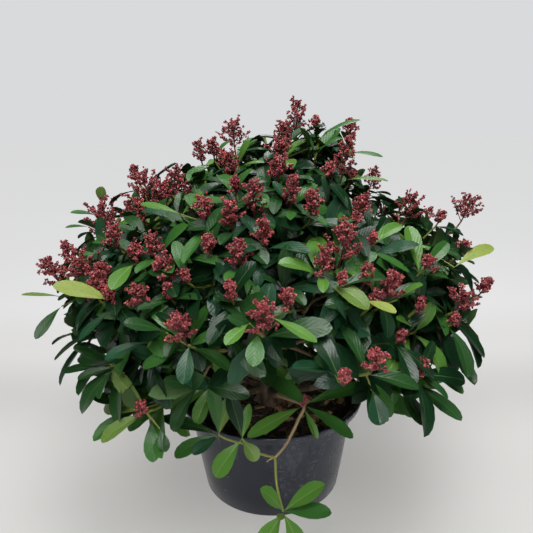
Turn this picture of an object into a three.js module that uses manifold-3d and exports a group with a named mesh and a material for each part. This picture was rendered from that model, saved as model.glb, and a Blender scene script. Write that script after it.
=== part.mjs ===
// A potted skimmia: an evergreen shrub about 0.8 m tall, domed, with red flower buds in panicles at its shoot tips.
// Millimetres, +Z up. The origin is the middle of the pot's flat underside, and -Y is the shrub's front,
// where one long shoot hangs over the rim.
//
// The real shrub branches low down into many stems. Every stem ends in a shoot, and every shoot in a whorl of
// leathery leaves, most of them with a panicle standing in the whorl. Here each bough carries one mass of
// foliage: twigs that run from a single stem to their shoots, with the leaves and panicles fused on.
import * as THREE from "three";
import { mergeVertices } from "three/addons/utils/BufferGeometryUtils.js";
import Module from "manifold-3d";

const wasm = await Module();
wasm.setup();

// ---------------------------------------------------------------- driving dimensions

const CLEARANCE = 0.3; // between a limb and what it grows from
const POT = {
  height: 201,
  footRadius: 142,
  bodyTopRadius: 171,
  rimRadius: 190,
  collarHeight: 15,
  wall: 3,
  floor: 4,
  sides: 32,
  drainHoles: 6,
  drainRadius: 6,
  drainCircle: 105,
};
const SOIL = { level: 172, edgeDrop: 6, flatRadius: 75, gap: 0.5 };
const TRUNK = { footRadius: 40, neckRadius: 27, tipRadius: 18, height: 94, buried: 4, sides: 10, steps: 5 };
const FORK = new THREE.Vector3(0, 0, 235); // every limb spreads from around this point
const BOUGH = { baseRadius: 8, tipRadius: 5.5, reach: 0.5, sag: 14, sides: 5, steps: 2 };
const CROWN = {
  heart: 412, // height of the widest level
  wide: 386, // from the axis to the outer whorls
  high: 306, // from the heart up to the top whorls
  deep: 185, // from the heart down to the lowest whorls
  boxiness: 2.3, // how flat the underside is
  shoots: 152,
  lowestAngle: 6, // degrees, of the lowest shoots as seen from the fork
  gapWidth: 27, // degrees either side of the front where the underside is open
  gapLift: 27, // degrees that the lowest shoots rise there
  lean: 30, // how far the top leans to the right
  lobe: 0.45, // how much a mass falls back towards its edges
  depth: 0.15, // how much deeper some shoots end
};
const TWIG = { stemRadius: 5.5, baseRadius: 4, tipRadius: 3, hubRadius: 4.5, hubRise: 3, hubDrop: 6 };
const LEAF = {
  perWhorl: 5,
  longest: 88, // near the ground
  shortest: 64, // near the top
  enlarged: 1.36, // fewer leaves than on the shrub, so each is larger
  breadth: 0.46, // width over length
  thickness: 0.03, // thickness over length
  arch: 0.16,
  fold: 0.035, // how far the edges stand above the midrib
  steepest: 50, // degrees between the first leaf of a whorl and its shoot
  spread: 38, // degrees from the first leaf to the last
  shares: [1, 0.86, 0.72, 0.58], // lengths, and
  leans: [0, 0.18, -0.18, 0.36], // ways, tried before a leaf that leaves its space is skipped
};
const PANICLE = {
  length: 66,
  profile: [
    [0.34, 0.32],
    [0.72, 0.26],
  ], // heights and radii as shares of the length
  widest: 0.32,
  flowering: 0.82, // share of the shoots
  floweringLow: 0.12, // the same, low down
  richAbove: 40, // over the heart of the crown
};
const GOLDEN_ANGLE = Math.PI * (3 - Math.sqrt(5));
const SEED = 4000;

// Each mass of foliage: its direction from the fork, in degrees (0 is the front, 90 the right), its reach
// as a share of the crown's.
const MASSES = [
  { name: "crown_top", azimuth: 70, rise: 85, reach: 1.03 },
  { name: "upper_front", azimuth: -12, rise: 59, reach: 1.0 },
  { name: "upper_right", azimuth: 76, rise: 60, reach: 0.78 },
  { name: "upper_back", azimuth: 165, rise: 58, reach: 1.0 },
  { name: "upper_left", azimuth: 264, rise: 58, reach: 0.96 },
  { name: "middle_front", azimuth: 4, rise: 33, reach: 1.02 },
  { name: "middle_front_right", azimuth: 55, rise: 33, reach: 1.0 },
  { name: "right_arm", azimuth: 102, rise: 36, reach: 1.0 },
  { name: "middle_back_right", azimuth: 152, rise: 32, reach: 1.0 },
  { name: "middle_back_left", azimuth: 206, rise: 32, reach: 1.0 },
  { name: "left_arm", azimuth: 262, rise: 35, reach: 1.02 },
  { name: "middle_front_left", azimuth: 311, rise: 33, reach: 1.0 },
  { name: "skirt_front_right", azimuth: 48, rise: 10, reach: 0.93 },
  { name: "skirt_right", azimuth: 98, rise: 10, reach: 0.95 },
  { name: "skirt_back_right", azimuth: 150, rise: 10, reach: 0.95 },
  { name: "skirt_back_left", azimuth: 206, rise: 10, reach: 0.95 },
  { name: "skirt_left", azimuth: 262, rise: 10, reach: 0.95 },
  { name: "skirt_front_left", azimuth: 316, rise: 9, reach: 0.97 },
];

// The long shoot that hangs over the front rim: its bough's tip, then the places that it passes, and its whorls.
const HANGING = {
  name: "hanging_shoot",
  azimuth: 6,
  rise: 11,
  start: [14, -140, 262],
  straight: 30, // how far its stem runs on in line with the bough
  crest: [51, -250, 301],
  node: [4, -264, 214],
  left: [-50, -268, 252],
  low: [16, -280, 122],
  stemRadius: 3.2,
  shootRadius: 2.2,
  whorls: [
    { at: "crest", facing: [0.25, -0.55, 0.75], leaves: 5, length: 88, phase: 0.3 },
    { at: "left", facing: [-0.35, -0.9, 0.1], leaves: 5, length: 74, phase: 2.4 },
    { at: "low", facing: [0.15, -0.85, -0.35], leaves: 5, length: 80, phase: 1.1 },
  ],
};

const COLOURS = {
  pot: { color: 0x33363d, roughness: 0.5, metalness: 0 },
  soil: { color: 0x2b211b, roughness: 1, metalness: 0 },
  bark: { color: 0x6b5743, roughness: 0.9, metalness: 0 },
  foliage: { color: 0x2f5a35, roughness: 0.45, metalness: 0 },
};

// ---------------------------------------------------------------- helpers

/** A generator of numbers from 0 to 1 that gives the same run for the same seed (mulberry32). */
function seeded(seed) {
  let state = seed | 0;
  return () => {
    state = (state + 0x6d2b79f5) | 0;
    let t = Math.imul(state ^ (state >>> 15), 1 | state);
    t = (t + Math.imul(t ^ (t >>> 7), 61 | t)) ^ t;
    return ((t ^ (t >>> 14)) >>> 0) / 4294967296;
  };
}

const vector = (x, y, z) => new THREE.Vector3(x, y, z);
const radians = THREE.MathUtils.degToRad;

/** The unit vector at an azimuth from the front and a rise above level, both in degrees. */
function directionOf(azimuth, rise) {
  const [a, e] = [radians(azimuth), radians(rise)];
  return vector(Math.sin(a) * Math.cos(e), -Math.cos(a) * Math.cos(e), Math.sin(e));
}

/** A closed geometry as a manifold-3d solid. */
function solidOf(geometry) {
  const bare = geometry.clone();
  bare.deleteAttribute("normal");
  bare.deleteAttribute("uv");
  const merged = mergeVertices(bare, 1e-3);
  const corners = merged.index.array;
  const triVerts = [];
  for (let i = 0; i < corners.length; i += 3) {
    const [a, b, c] = corners.slice(i, i + 3);
    if (a !== b && b !== c && c !== a) triVerts.push(a, b, c);
  }
  return new wasm.Manifold(
    new wasm.Mesh({
      numProp: 3,
      vertProperties: merged.attributes.position.array,
      triVerts: Uint32Array.from(triVerts),
    }),
  );
}

/** A manifold-3d solid as a geometry. */
function geometryOf(solid) {
  const mesh = solid.getMesh();
  const position = new Float32Array(mesh.numVert * 3);
  for (let i = 0; i < mesh.numVert; i++) {
    position.set(mesh.vertProperties.subarray(i * mesh.numProp, i * mesh.numProp + 3), i * 3);
  }
  const geometry = new THREE.BufferGeometry();
  geometry.setAttribute("position", new THREE.BufferAttribute(position, 3));
  geometry.setIndex(new THREE.BufferAttribute(mesh.triVerts, 1));
  geometry.computeVertexNormals();
  return geometry;
}

/** A closed round limb along a curve, with radiusAt(share of its length). */
function limb(curve, radiusAt, sides, steps) {
  const geometry = new THREE.CylinderGeometry(1, 1, 1, sides, steps);
  const frames = curve.computeFrenetFrames(steps, false);
  const position = geometry.attributes.position;
  const corner = new THREE.Vector3();
  for (let i = 0; i < position.count; i++) {
    corner.fromBufferAttribute(position, i);
    const share = corner.y + 0.5;
    const step = Math.round(share * steps);
    const radius = radiusAt(share);
    const placed = curve
      .getPointAt(Math.min(1, Math.max(0, share)))
      .addScaledVector(frames.normals[step], corner.x * radius)
      .addScaledVector(frames.binormals[step], -corner.z * radius);
    position.setXYZ(i, placed.x, placed.y, placed.z);
  }
  return geometry;
}

/** The radius of an evenly tapering limb. */
const taper = (start, end) => (share) => start + (end - start) * share;

// ---------------------------------------------------------------- pot and soil

/** The pot's outer radius at a height below its collar. */
function bodyRadius(z) {
  return THREE.MathUtils.mapLinear(z, 0, POT.height - POT.collarHeight, POT.footRadius, POT.bodyTopRadius);
}

/** A profile of [radius, height] pairs, turned about the Z axis. */
function turned(profile) {
  const points = profile.map(([radius, height]) => new THREE.Vector2(radius, height));
  return new THREE.LatheGeometry(points, POT.sides).rotateX(Math.PI / 2);
}

/** A low tapering nursery pot with a collar, a rolled lip and drain holes. */
function potGeometry() {
  const { height, collarHeight, rimRadius, wall, floor } = POT;
  const collarFoot = height - collarHeight;
  const lip = 4;
  const profile = [
    [0, 0],
    [POT.footRadius - 3, 0],
    [POT.footRadius, 3],
    [bodyRadius(collarFoot), collarFoot],
    [rimRadius - 3, collarFoot + 1],
    [rimRadius, height - lip],
    [rimRadius - 2, height],
    [rimRadius - 7, height],
    [bodyRadius(collarFoot) - wall, collarFoot - lip],
    [bodyRadius(floor) - wall, floor],
    [0, floor],
  ];
  let pot = solidOf(turned(profile));
  for (let i = 0; i < POT.drainHoles; i++) {
    const around = (i / POT.drainHoles) * 2 * Math.PI;
    const drain = new THREE.CylinderGeometry(POT.drainRadius, POT.drainRadius, floor * 4, 6)
      .rotateX(Math.PI / 2)
      .translate(POT.drainCircle * Math.cos(around), POT.drainCircle * Math.sin(around), 0);
    pot = pot.subtract(solidOf(drain));
  }
  return geometryOf(pot);
}

/** The potting mix: it fills the pot to below the rim and falls a little towards the wall. */
function soilGeometry() {
  const { level, edgeDrop, flatRadius, gap } = SOIL;
  const edge = level - edgeDrop;
  return turned([
    [0, POT.floor + gap],
    [bodyRadius(POT.floor + gap) - POT.wall - gap, POT.floor + gap],
    [bodyRadius(edge) - POT.wall - gap, edge],
    [flatRadius, level],
    [0, level],
  ]);
}

// ---------------------------------------------------------------- trunk and boughs

const trunkFoot = vector(-3, 4, SOIL.level + CLEARANCE);
const trunkLine = new THREE.QuadraticBezierCurve3(
  trunkFoot.clone().setZ(trunkFoot.z - TRUNK.buried),
  vector(-2, 3, trunkFoot.z + TRUNK.height / 2),
  vector(3, 0, trunkFoot.z + TRUNK.height),
);

/** The trunk's radius: a flare at the soil, then an even taper to the fork. */
function trunkRadius(share) {
  const flare = (TRUNK.footRadius - TRUNK.neckRadius) * Math.exp(-share * 7);
  return THREE.MathUtils.lerp(TRUNK.neckRadius, TRUNK.tipRadius, share) + flare;
}

/** The trunk, cut flat at the soil, or the room that it takes with a clearance around it. */
function trunkSolid(extra = 0) {
  const whole = solidOf(limb(trunkLine, (share) => trunkRadius(share) + extra, TRUNK.sides, TRUNK.steps));
  return whole.trimByPlane([0, 0, 1], trunkFoot.z);
}

/** Where in the trunk a bough starts: low down for the skirt, near the tip and off the middle for the top. */
function boughStart(mass) {
  const share = THREE.MathUtils.clamp(0.3 + mass.rise / 120, 0.2, 0.94);
  const off = mass.rise > 80 ? 0 : 0.45 * trunkRadius(share);
  return trunkLine.getPointAt(share).addScaledVector(directionOf(mass.azimuth, 0), off);
}

/** The line of a bough from inside the trunk to past its tip, sagging a little below a straight line. */
function boughLine(mass) {
  const start = boughStart(mass);
  const middle = start.clone().lerp(mass.boughTip, 0.5);
  middle.z -= BOUGH.sag * Math.cos(radians(mass.rise));
  const end = mass.boughTip.clone().addScaledVector(mass.stemWay, BOUGH.tipRadius);
  return new THREE.QuadraticBezierCurve3(start, middle, end);
}

/** One tapering bough, cut clear of the trunk and square to the stem that it carries. */
function boughGeometry(mass, room) {
  const blank = limb(boughLine(mass), taper(BOUGH.baseRadius, BOUGH.tipRadius), BOUGH.sides, BOUGH.steps);
  const back = mass.stemWay.clone().negate();
  return geometryOf(solidOf(blank).subtract(room).trimByPlane(back.toArray(), back.dot(mass.boughTip)));
}

// ---------------------------------------------------------------- the rule for shoots

/** How far the whorls' dome is from the fork in a direction. */
function domeReach(direction) {
  const heart = CROWN.heart - FORK.z;
  let [near, far] = [0, 2 * (CROWN.high + heart)];
  for (let i = 0; i < 40; i++) {
    const reach = (near + far) / 2;
    const level = Math.hypot(direction.x, direction.y) * reach;
    const rise = direction.z * reach - heart;
    const [power, depth] = rise > 0 ? [2, CROWN.high] : [CROWN.boxiness, CROWN.deep];
    const inside = (level / CROWN.wide) ** power + (Math.abs(rise) / depth) ** power < 1;
    if (inside) near = reach;
    else far = reach;
  }
  return near;
}

/** The mass whose direction is nearest to this one. The hanging shoot isn't one of the crown's. */
function massNearest(direction) {
  return spaces
    .filter((mass) => !mass.start)
    .reduce((best, mass) => (mass.axis.dot(direction) > best.axis.dot(direction) ? mass : best));
}

/** The lowest rise of a shoot at this azimuth: the underside is open at the front. */
function lowestRise(direction) {
  const azimuth = THREE.MathUtils.radToDeg(Math.atan2(direction.x, -direction.y));
  return CROWN.lowestAngle + CROWN.gapLift * Math.exp(-((azimuth / CROWN.gapWidth) ** 2));
}

/** Shoot number k: its mass, its hub (the middle of its whorl), the way it points, and its own draws. */
function shootOf(k) {
  const draw = seeded(SEED + k * 7);
  const lowest = Math.sin(radians(CROWN.lowestAngle));
  const rise = 1 - ((k + 0.5) / CROWN.shoots) * (1 - lowest);
  const level = Math.sqrt(1 - rise * rise);
  const around = k * GOLDEN_ANGLE;
  const scatter = (amount) => vector(draw() - 0.5, draw() - 0.5, draw() - 0.5).multiplyScalar(amount);
  const direction = vector(Math.cos(around) * level, Math.sin(around) * level, rise)
    .add(scatter(0.07))
    .normalize();
  if (direction.z < Math.sin(radians(lowestRise(direction)))) return null;
  const mass = massNearest(direction);
  const off = mass.axis.angleTo(direction);
  const reach = domeReach(direction) * mass.reach * (1 - CROWN.lobe * off * off) * (1 - CROWN.depth * draw() ** 2);
  const hub = FORK.clone().addScaledVector(direction, reach);
  hub.x += CROWN.lean * Math.max(0, (hub.z - CROWN.heart) / CROWN.high) ** 2;
  const outward = hub.clone().setZ((hub.z - CROWN.heart) * 0.8).normalize();
  const lift = hub.z > CROWN.heart - 60 ? 0.42 : 0.1;
  const facing = outward.add(vector(0, 0, lift)).add(scatter(0.5)).normalize();
  return { mass, hub, facing, draw, flowers: draw() < floweringShare(hub.z) };
}

/** How many of the shoots flower at a height: fewer in the skirt. */
function floweringShare(z) {
  return z > CROWN.heart + PANICLE.richAbove ? PANICLE.flowering : PANICLE.floweringLow;
}

/** The length of a leaf at a height: longer low down. */
function leafLength(z) {
  const share = THREE.MathUtils.clamp((z - 300) / 300, 0, 1);
  return THREE.MathUtils.lerp(LEAF.longest, LEAF.shortest, share);
}

/** The directions of a whorl's leaves. They spiral round the shoot, the later ones more level. */
function whorl({ hub, facing, count, length, phase, draw }) {
  const [aside, across] = axesAcross(facing);
  const sinking = THREE.MathUtils.clamp((480 - hub.z) / 240, 0, 1);
  return Array.from({ length: count }, (_, j) => {
    const around = phase + j * GOLDEN_ANGLE;
    const tilt = radians(LEAF.steepest + (LEAF.spread * j) / count);
    const along = facing
      .clone()
      .multiplyScalar(Math.cos(tilt))
      .addScaledVector(aside, Math.cos(around) * Math.sin(tilt))
      .addScaledVector(across, Math.sin(around) * Math.sin(tilt))
      .add(vector(0, 0, -0.12 - 0.16 * sinking))
      .normalize();
    return { hub, along, facing, length: length * (0.86 + 0.28 * draw()) };
  });
}

// ---------------------------------------------------------------- leaves, shoots and masses

/** Two directions at right angles to this one and to each other. */
function axesAcross(facing) {
  const aside = facing.clone().cross(vector(0.3, 0.2, 1)).normalize();
  return [aside, facing.clone().cross(aside)];
}

/** The corners of a leaf: two on the right, the tip and two on the left, and the middles of both faces. */
function leafCorners({ hub, along, facing, length }) {
  const side = facing.clone().cross(along).normalize();
  const face = along.clone().cross(side);
  const width = length * LEAF.breadth;
  const corner = (share, out, raise) =>
    hub
      .clone()
      .addScaledVector(along, length * share)
      .addScaledVector(side, width * out)
      .addScaledVector(face, raise - LEAF.arch * length * share * share);
  const fold = LEAF.fold * length;
  const skin = (LEAF.thickness * length) / 2;
  return {
    edge: [
      corner(0.34, -0.45, fold),
      corner(0.72, -0.42, fold),
      corner(1, 0, 0),
      corner(0.72, 0.42, fold),
      corner(0.34, 0.45, fold),
    ],
    over: corner(0.5, 0, skin),
    under: corner(0.5, 0, -skin),
  };
}

/** A mesh with faces that are added by their corners. */
class Faces {
  points = [];
  index = [];

  /** Adds points and returns their numbers. */
  add(...points) {
    points.forEach((point) => this.points.push(point));
    return points.map((_, i) => this.points.length - points.length + i);
  }

  /** A fan of triangles from a middle to a line of points. */
  fan(middle, line) {
    line.slice(1).forEach((point, i) => this.index.push(middle, line[i], point));
  }

  /** Two triangles across four corners. */
  quad(a, b, c, d) {
    this.index.push(a, b, c, a, c, d);
  }

  geometry() {
    const geometry = new THREE.BufferGeometry().setFromPoints(this.points);
    geometry.setIndex(this.index);
    return geometry;
  }
}

/** A leaf by itself, as a closed blade from the middle of its whorl. */
function leafGeometry(leaf, { edge, over, under }) {
  const faces = new Faces();
  const [top, bottom] = faces.add(over, under);
  const ring = faces.add(leaf.hub, ...edge);
  const loop = [...ring, ring[0]];
  faces.fan(top, loop);
  faces.fan(bottom, loop.toReversed());
  return faces.geometry();
}

/** The angle of a direction round a shoot. */
function angleRound(facing, direction) {
  const [aside, across] = axesAcross(facing);
  return Math.atan2(direction.dot(across), direction.dot(aside));
}

/**
 * A whole shoot as one closed solid: a straight twig from its fork to its hub, a whorl of leaves that grow out
 * between the corners of the hub, and a panicle or a bud on top. Each leaf is { along, corners }.
 */
function shootGeometry(fork, { hub, facing, panicle }, leaves) {
  const faces = new Faces();
  const sorted = leaves
    .map((leaf) => ({ ...leaf, angle: angleRound(facing, leaf.along) }))
    .sort((one, other) => one.angle - other.angle);
  const count = sorted.length;
  const corners = sorted.map((leaf, j) => {
    const next = sorted[(j + 1) % count].angle + (j + 1 === count ? 2 * Math.PI : 0);
    return (leaf.angle + next) / 2;
  });
  const twigWay = hub.clone().sub(fork).normalize();
  const turn = new THREE.Quaternion().setFromUnitVectors(facing, twigWay);
  const level = new THREE.Quaternion();
  const ring = (centre, radius, bend = level) => {
    const [aside, across] = axesAcross(facing).map((axis) => axis.applyQuaternion(bend));
    const around = (angle) =>
      centre
        .clone()
        .addScaledVector(aside, radius * Math.cos(angle))
        .addScaledVector(across, radius * Math.sin(angle));
    return faces.add(...corners.map(around));
  };
  const above = (height) => hub.clone().addScaledVector(facing, height);
  const { hubRadius, hubRise, hubDrop, baseRadius, tipRadius } = TWIG;
  const foot = ring(fork, baseRadius, turn);
  const below = ring(above(-hubDrop), tipRadius, level.clone().slerp(turn, 0.5));
  const waist = ring(hub, hubRadius);
  const top = ring(above(hubRise), tipRadius);

  const band = (lower, upper) => {
    lower.forEach((_, j) => {
      const next = (j + 1) % count;
      faces.quad(lower[j], lower[next], upper[next], upper[j]);
    });
  };
  band(foot, below);
  faces.fan(foot[0], foot.slice(1).toReversed());
  sorted.forEach((leaf, j) => {
    const before = (j + count - 1) % count;
    const edge = faces.add(...leaf.corners.edge);
    const [over, under] = faces.add(leaf.corners.over, leaf.corners.under);
    const outline = [waist[before], ...edge, waist[j]];
    faces.fan(over, [top[before], ...outline, top[j], top[before]]);
    faces.fan(under, [below[j], ...outline.toReversed(), below[before], below[j]]);
  });
  let last = top;
  for (const [height, radius] of panicle ? PANICLE.profile : []) {
    const wider = ring(above(height * panicle), radius * panicle);
    band(last, wider);
    last = wider;
  }
  const [tip] = faces.add(above(panicle || 3 * hubRise));
  faces.fan(tip, [...last, last[0]]);
  return faces.geometry();
}

/** Whether points keep to a mass's space: on its side of every wall, past its bough's tip, off the pot. */
function keepsTo(mass, points, margin = 0.4) {
  return points.every((point) => {
    const from = point.clone().sub(FORK);
    const clearOfPot = Math.hypot(point.x, point.y) > POT.rimRadius + 4 || point.z > POT.height + 6;
    const inside = mass.walls.every((wall) => from.dot(wall) > margin);
    return clearOfPot && point.z > 5 && inside && from.length() > mass.boughTip.distanceTo(FORK) + margin;
  });
}

/** Whether two solids, each kept with its box, run into each other. */
function crossing(one, other) {
  return one.box.intersectsBox(other.box) && !one.solid.intersect(other.solid).isEmpty();
}

/** A closed geometry as a solid with its box and its owner, the shoot that it belongs to. */
function placed(geometry, owner) {
  geometry.computeBoundingBox();
  return { solid: solidOf(geometry), box: geometry.boundingBox, owner };
}

/** Every length and way in which a leaf may grow, the ones tried first coming first. */
function* variantsOf(leaf) {
  for (const share of LEAF.shares) {
    for (const lean of LEAF.leans) {
      const along = leaf.along.clone().addScaledVector(leaf.facing, lean).normalize();
      yield { ...leaf, along, length: leaf.length * share };
    }
  }
}

/** The leaves of a whorl that keep to the mass's space and clear of what grows there already. */
function leavesThatFit(mass, grown, leaves, owner) {
  const kept = [];
  for (const leaf of leaves) {
    for (const tried of variantsOf(leaf)) {
      const corners = leafCorners(tried);
      if (!keepsTo(mass, [...corners.edge, corners.over])) continue;
      const blade = placed(leafGeometry(tried, corners), owner);
      if (grown.some((other) => other.owner !== owner && crossing(blade, other))) continue;
      grown.push(blade);
      kept.push({ along: tried.along, corners });
      break;
    }
  }
  return kept;
}

/** Joins geometries into one solid. */
function fused(geometries) {
  return geometries.map(solidOf).reduce((whole, piece) => whole.add(piece));
}

/** A mass of foliage: one stem that starts at the bough's tip, and the shoots that fork from it. */
function massGeometry(mass, shoots) {
  const outer = FORK.clone().addScaledVector(mass.axis, domeReach(mass.axis) * mass.reach);
  const start = mass.boughTip.clone().addScaledVector(mass.axis, CLEARANCE);
  const stem = new THREE.LineCurve3(start, start.clone().lerp(outer, 0.55));
  const stemGeometry = limb(stem, taper(TWIG.stemRadius, TWIG.baseRadius), 5, 1);
  const grown = [placed(stemGeometry)];
  const own = shoots.filter(({ hub }) => keepsTo(mass, [hub], TWIG.hubRadius + 1));
  for (const [i, shoot] of own.entries()) {
    shoot.fork = stem.getPointAt(0.4 + (0.55 * (i + 0.5)) / own.length);
    const twig = new THREE.LineCurve3(shoot.fork, shoot.hub);
    grown.push(placed(limb(twig, taper(TWIG.baseRadius, TWIG.tipRadius), 3, 1), shoot));
  }
  for (const shoot of own) {
    const { hub, facing, draw, flowers } = shoot;
    shoot.phase = draw() * 2 * Math.PI;
    const length = PANICLE.length * (0.75 + 0.5 * draw());
    const top = hub.clone().addScaledVector(facing, length);
    if (flowers && keepsTo(mass, [hub, top], PANICLE.widest * length)) shoot.panicle = length;
  }
  const pieces = [stemGeometry];
  for (const shoot of own) {
    const length = leafLength(shoot.hub.z) * LEAF.enlarged;
    const leaves = leavesThatFit(mass, grown, whorl({ ...shoot, count: LEAF.perWhorl, length }), shoot);
    if (leaves.length > 2) pieces.push(shootGeometry(shoot.fork, shoot, leaves));
  }
  return geometryOf(fused(pieces));
}

/** The shoot that hangs over the rim: up to a crest, down to a node, and from there to its whorls. */
function hangingGeometry(mass) {
  const place = (name) => vector(...HANGING[name]);
  const line = (...names) => new THREE.CatmullRomCurve3(names.map(place), false, "centripetal");
  const start = mass.boughTip.clone().addScaledVector(mass.stemWay, CLEARANCE);
  const rising = start.clone().addScaledVector(mass.stemWay, HANGING.straight);
  const passed = [start, rising, place("crest"), place("node")];
  const over = new THREE.CatmullRomCurve3(passed, false, "centripetal");
  const { stemRadius, shootRadius } = HANGING;
  const pieces = [
    limb(over, taper(TWIG.stemRadius, stemRadius), 5, 8),
    limb(line("node", "left"), taper(stemRadius, shootRadius), 4, 2),
    limb(line("node", "low"), taper(stemRadius, shootRadius), 4, 2),
  ];
  const grown = [];
  HANGING.whorls.forEach(({ at, facing, leaves, length, phase }, i) => {
    const shoot = { hub: place(at), facing: vector(...facing).normalize(), draw: seeded(SEED - 1 - i) };
    const kept = leavesThatFit(mass, grown, whorl({ ...shoot, count: leaves, length, phase }), shoot);
    const root = shoot.hub.clone().addScaledVector(shoot.facing, -3 * TWIG.hubRise);
    if (kept.length > 2) pieces.push(shootGeometry(root, shoot, kept));
  });
  return geometryOf(fused(pieces));
}

// ---------------------------------------------------------------- the shrub

const spaces = [...MASSES, HANGING].map((row) => ({ ...row, axis: directionOf(row.azimuth, row.rise) }));
for (const mass of spaces) {
  mass.walls = spaces
    .filter((other) => other !== mass)
    .map((other) => mass.axis.clone().sub(other.axis).normalize());
  mass.boughTip = mass.start
    ? vector(...mass.start)
    : FORK.clone().addScaledVector(mass.axis, domeReach(mass.axis) * mass.reach * BOUGH.reach);
  mass.stemWay = mass.start ? vector(...mass.crest).sub(mass.boughTip).normalize() : mass.axis;
}

const shoots = Array.from({ length: CROWN.shoots }, (_, k) => shootOf(k)).filter(Boolean);

/** A named mesh with one of the materials. */
function piece(name, geometry, material) {
  const mesh = new THREE.Mesh(geometry, material);
  mesh.name = name;
  return mesh;
}

const materials = Object.fromEntries(
  Object.entries(COLOURS).map(([name, look]) => [name, new THREE.MeshStandardMaterial(look)]),
);
const shrub = new THREE.Group();
shrub.add(piece("pot", potGeometry(), materials.pot));
shrub.add(piece("potting_soil", soilGeometry(), materials.soil));
shrub.add(piece("trunk", geometryOf(trunkSolid()), materials.bark));
const trunkRoom = trunkSolid(CLEARANCE);
for (const mass of spaces) {
  shrub.add(piece(`bough_${mass.name}`, boughGeometry(mass, trunkRoom), materials.bark));
  const own = shoots.filter((shoot) => shoot.mass === mass);
  const geometry = mass.name === HANGING.name ? hangingGeometry(mass) : massGeometry(mass, own);
  shrub.add(piece(mass.name, geometry, materials.foliage));
}

export default shrub;
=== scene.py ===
# %% [markdown]
# # A potted skimmia, from the pot up to the flower buds
# This lesson dresses the plain solids of a potted shrub with what the eye sees on the real one: a moulded
# nursery pot, potting mix with bark chips, rough stems, glossy leaves in whorls and heads of red buds.
# The solids stay as they are. A new piece stands for one or more of them, or grows on a piece that does.

# %% Load the solids
import math
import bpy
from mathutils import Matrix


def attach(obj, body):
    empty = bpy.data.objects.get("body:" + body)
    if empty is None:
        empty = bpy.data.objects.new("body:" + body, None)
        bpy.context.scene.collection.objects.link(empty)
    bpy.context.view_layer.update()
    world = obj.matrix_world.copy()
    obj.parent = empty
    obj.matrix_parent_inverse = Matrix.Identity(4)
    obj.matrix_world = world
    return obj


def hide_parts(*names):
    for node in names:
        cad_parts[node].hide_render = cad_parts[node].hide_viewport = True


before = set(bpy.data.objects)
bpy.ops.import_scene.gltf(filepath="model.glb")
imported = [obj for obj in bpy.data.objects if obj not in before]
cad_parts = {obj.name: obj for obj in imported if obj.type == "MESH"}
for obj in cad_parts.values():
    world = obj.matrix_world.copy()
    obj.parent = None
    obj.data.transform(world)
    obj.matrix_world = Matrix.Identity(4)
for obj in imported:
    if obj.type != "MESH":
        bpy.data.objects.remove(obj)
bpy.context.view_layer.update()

from types import SimpleNamespace

import bpy
import numpy as np
from mathutils import Quaternion, Vector

# %% [markdown]
# ## Floor, light and camera
# A shrub in a plant shop stands on pale paper under wide lamps, which give soft shadows. One plane is the
# floor, and the sky behind it is a plain pale grey, so that the shrub can be seen from every side. The sheet
# has a painted glow, which lifts the shadows on it, and a painted band of shade where a backdrop's fold would
# meet it. Its tone runs over into the sky's.
# The camera stands a little over a metre away, at the height of a table top, and looks down a little.

# %% Place the camera
LENS = 37.82  # millimetres, on a sensor that is 36 wide
CAMERA_PLACE = (-0.006, -1.0753, 0.7572)
CAMERA_PITCH = 14.97  # degrees below level
CAMERA_ROLL = -0.79

bpy.ops.object.camera_add(location=CAMERA_PLACE)
camera = bpy.context.object
camera.name = "camera"
camera.data.lens = LENS
camera.data.sensor_width = 36
nod = Quaternion((1, 0, 0), math.radians(90 - CAMERA_PITCH))
camera.rotation_euler = (nod @ Quaternion((0, 0, 1), math.radians(CAMERA_ROLL))).to_euler()
bpy.context.scene.camera = camera
print("The camera looks", CAMERA_PITCH, "degrees down")

# %% [markdown]
# A shader is a net of nodes, which one draws by hand with the mouse. In code each node takes a few lines, so
# a small class gives each kind that this lesson uses one short call. Colours are written as a screen shows
# them, and are turned into a shader's numbers once, here.

# %% Helpers for colours, patterns and lamps
def paint(red, green, blue):
    """A colour as a screen shows it, 0 to 255, as the four numbers that a shader takes."""
    linear = [(part / 255 / 12.92) if part <= 10 else ((part / 255 + 0.055) / 1.055) ** 2.4
              for part in (red, green, blue)]
    return (*linear, 1)


def plain_material(name, colour, roughness=0.5, specular=0.5):
    """A material with one colour, to which a pattern may be added."""
    material = bpy.data.materials.new(name)
    material.use_nodes = True
    shader = material.node_tree.nodes["Principled BSDF"]
    shader.inputs["Base Color"].default_value = colour
    shader.inputs["Roughness"].default_value = roughness
    shader.inputs["Specular IOR Level"].default_value = specular
    material.diffuse_color = colour
    return material


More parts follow.
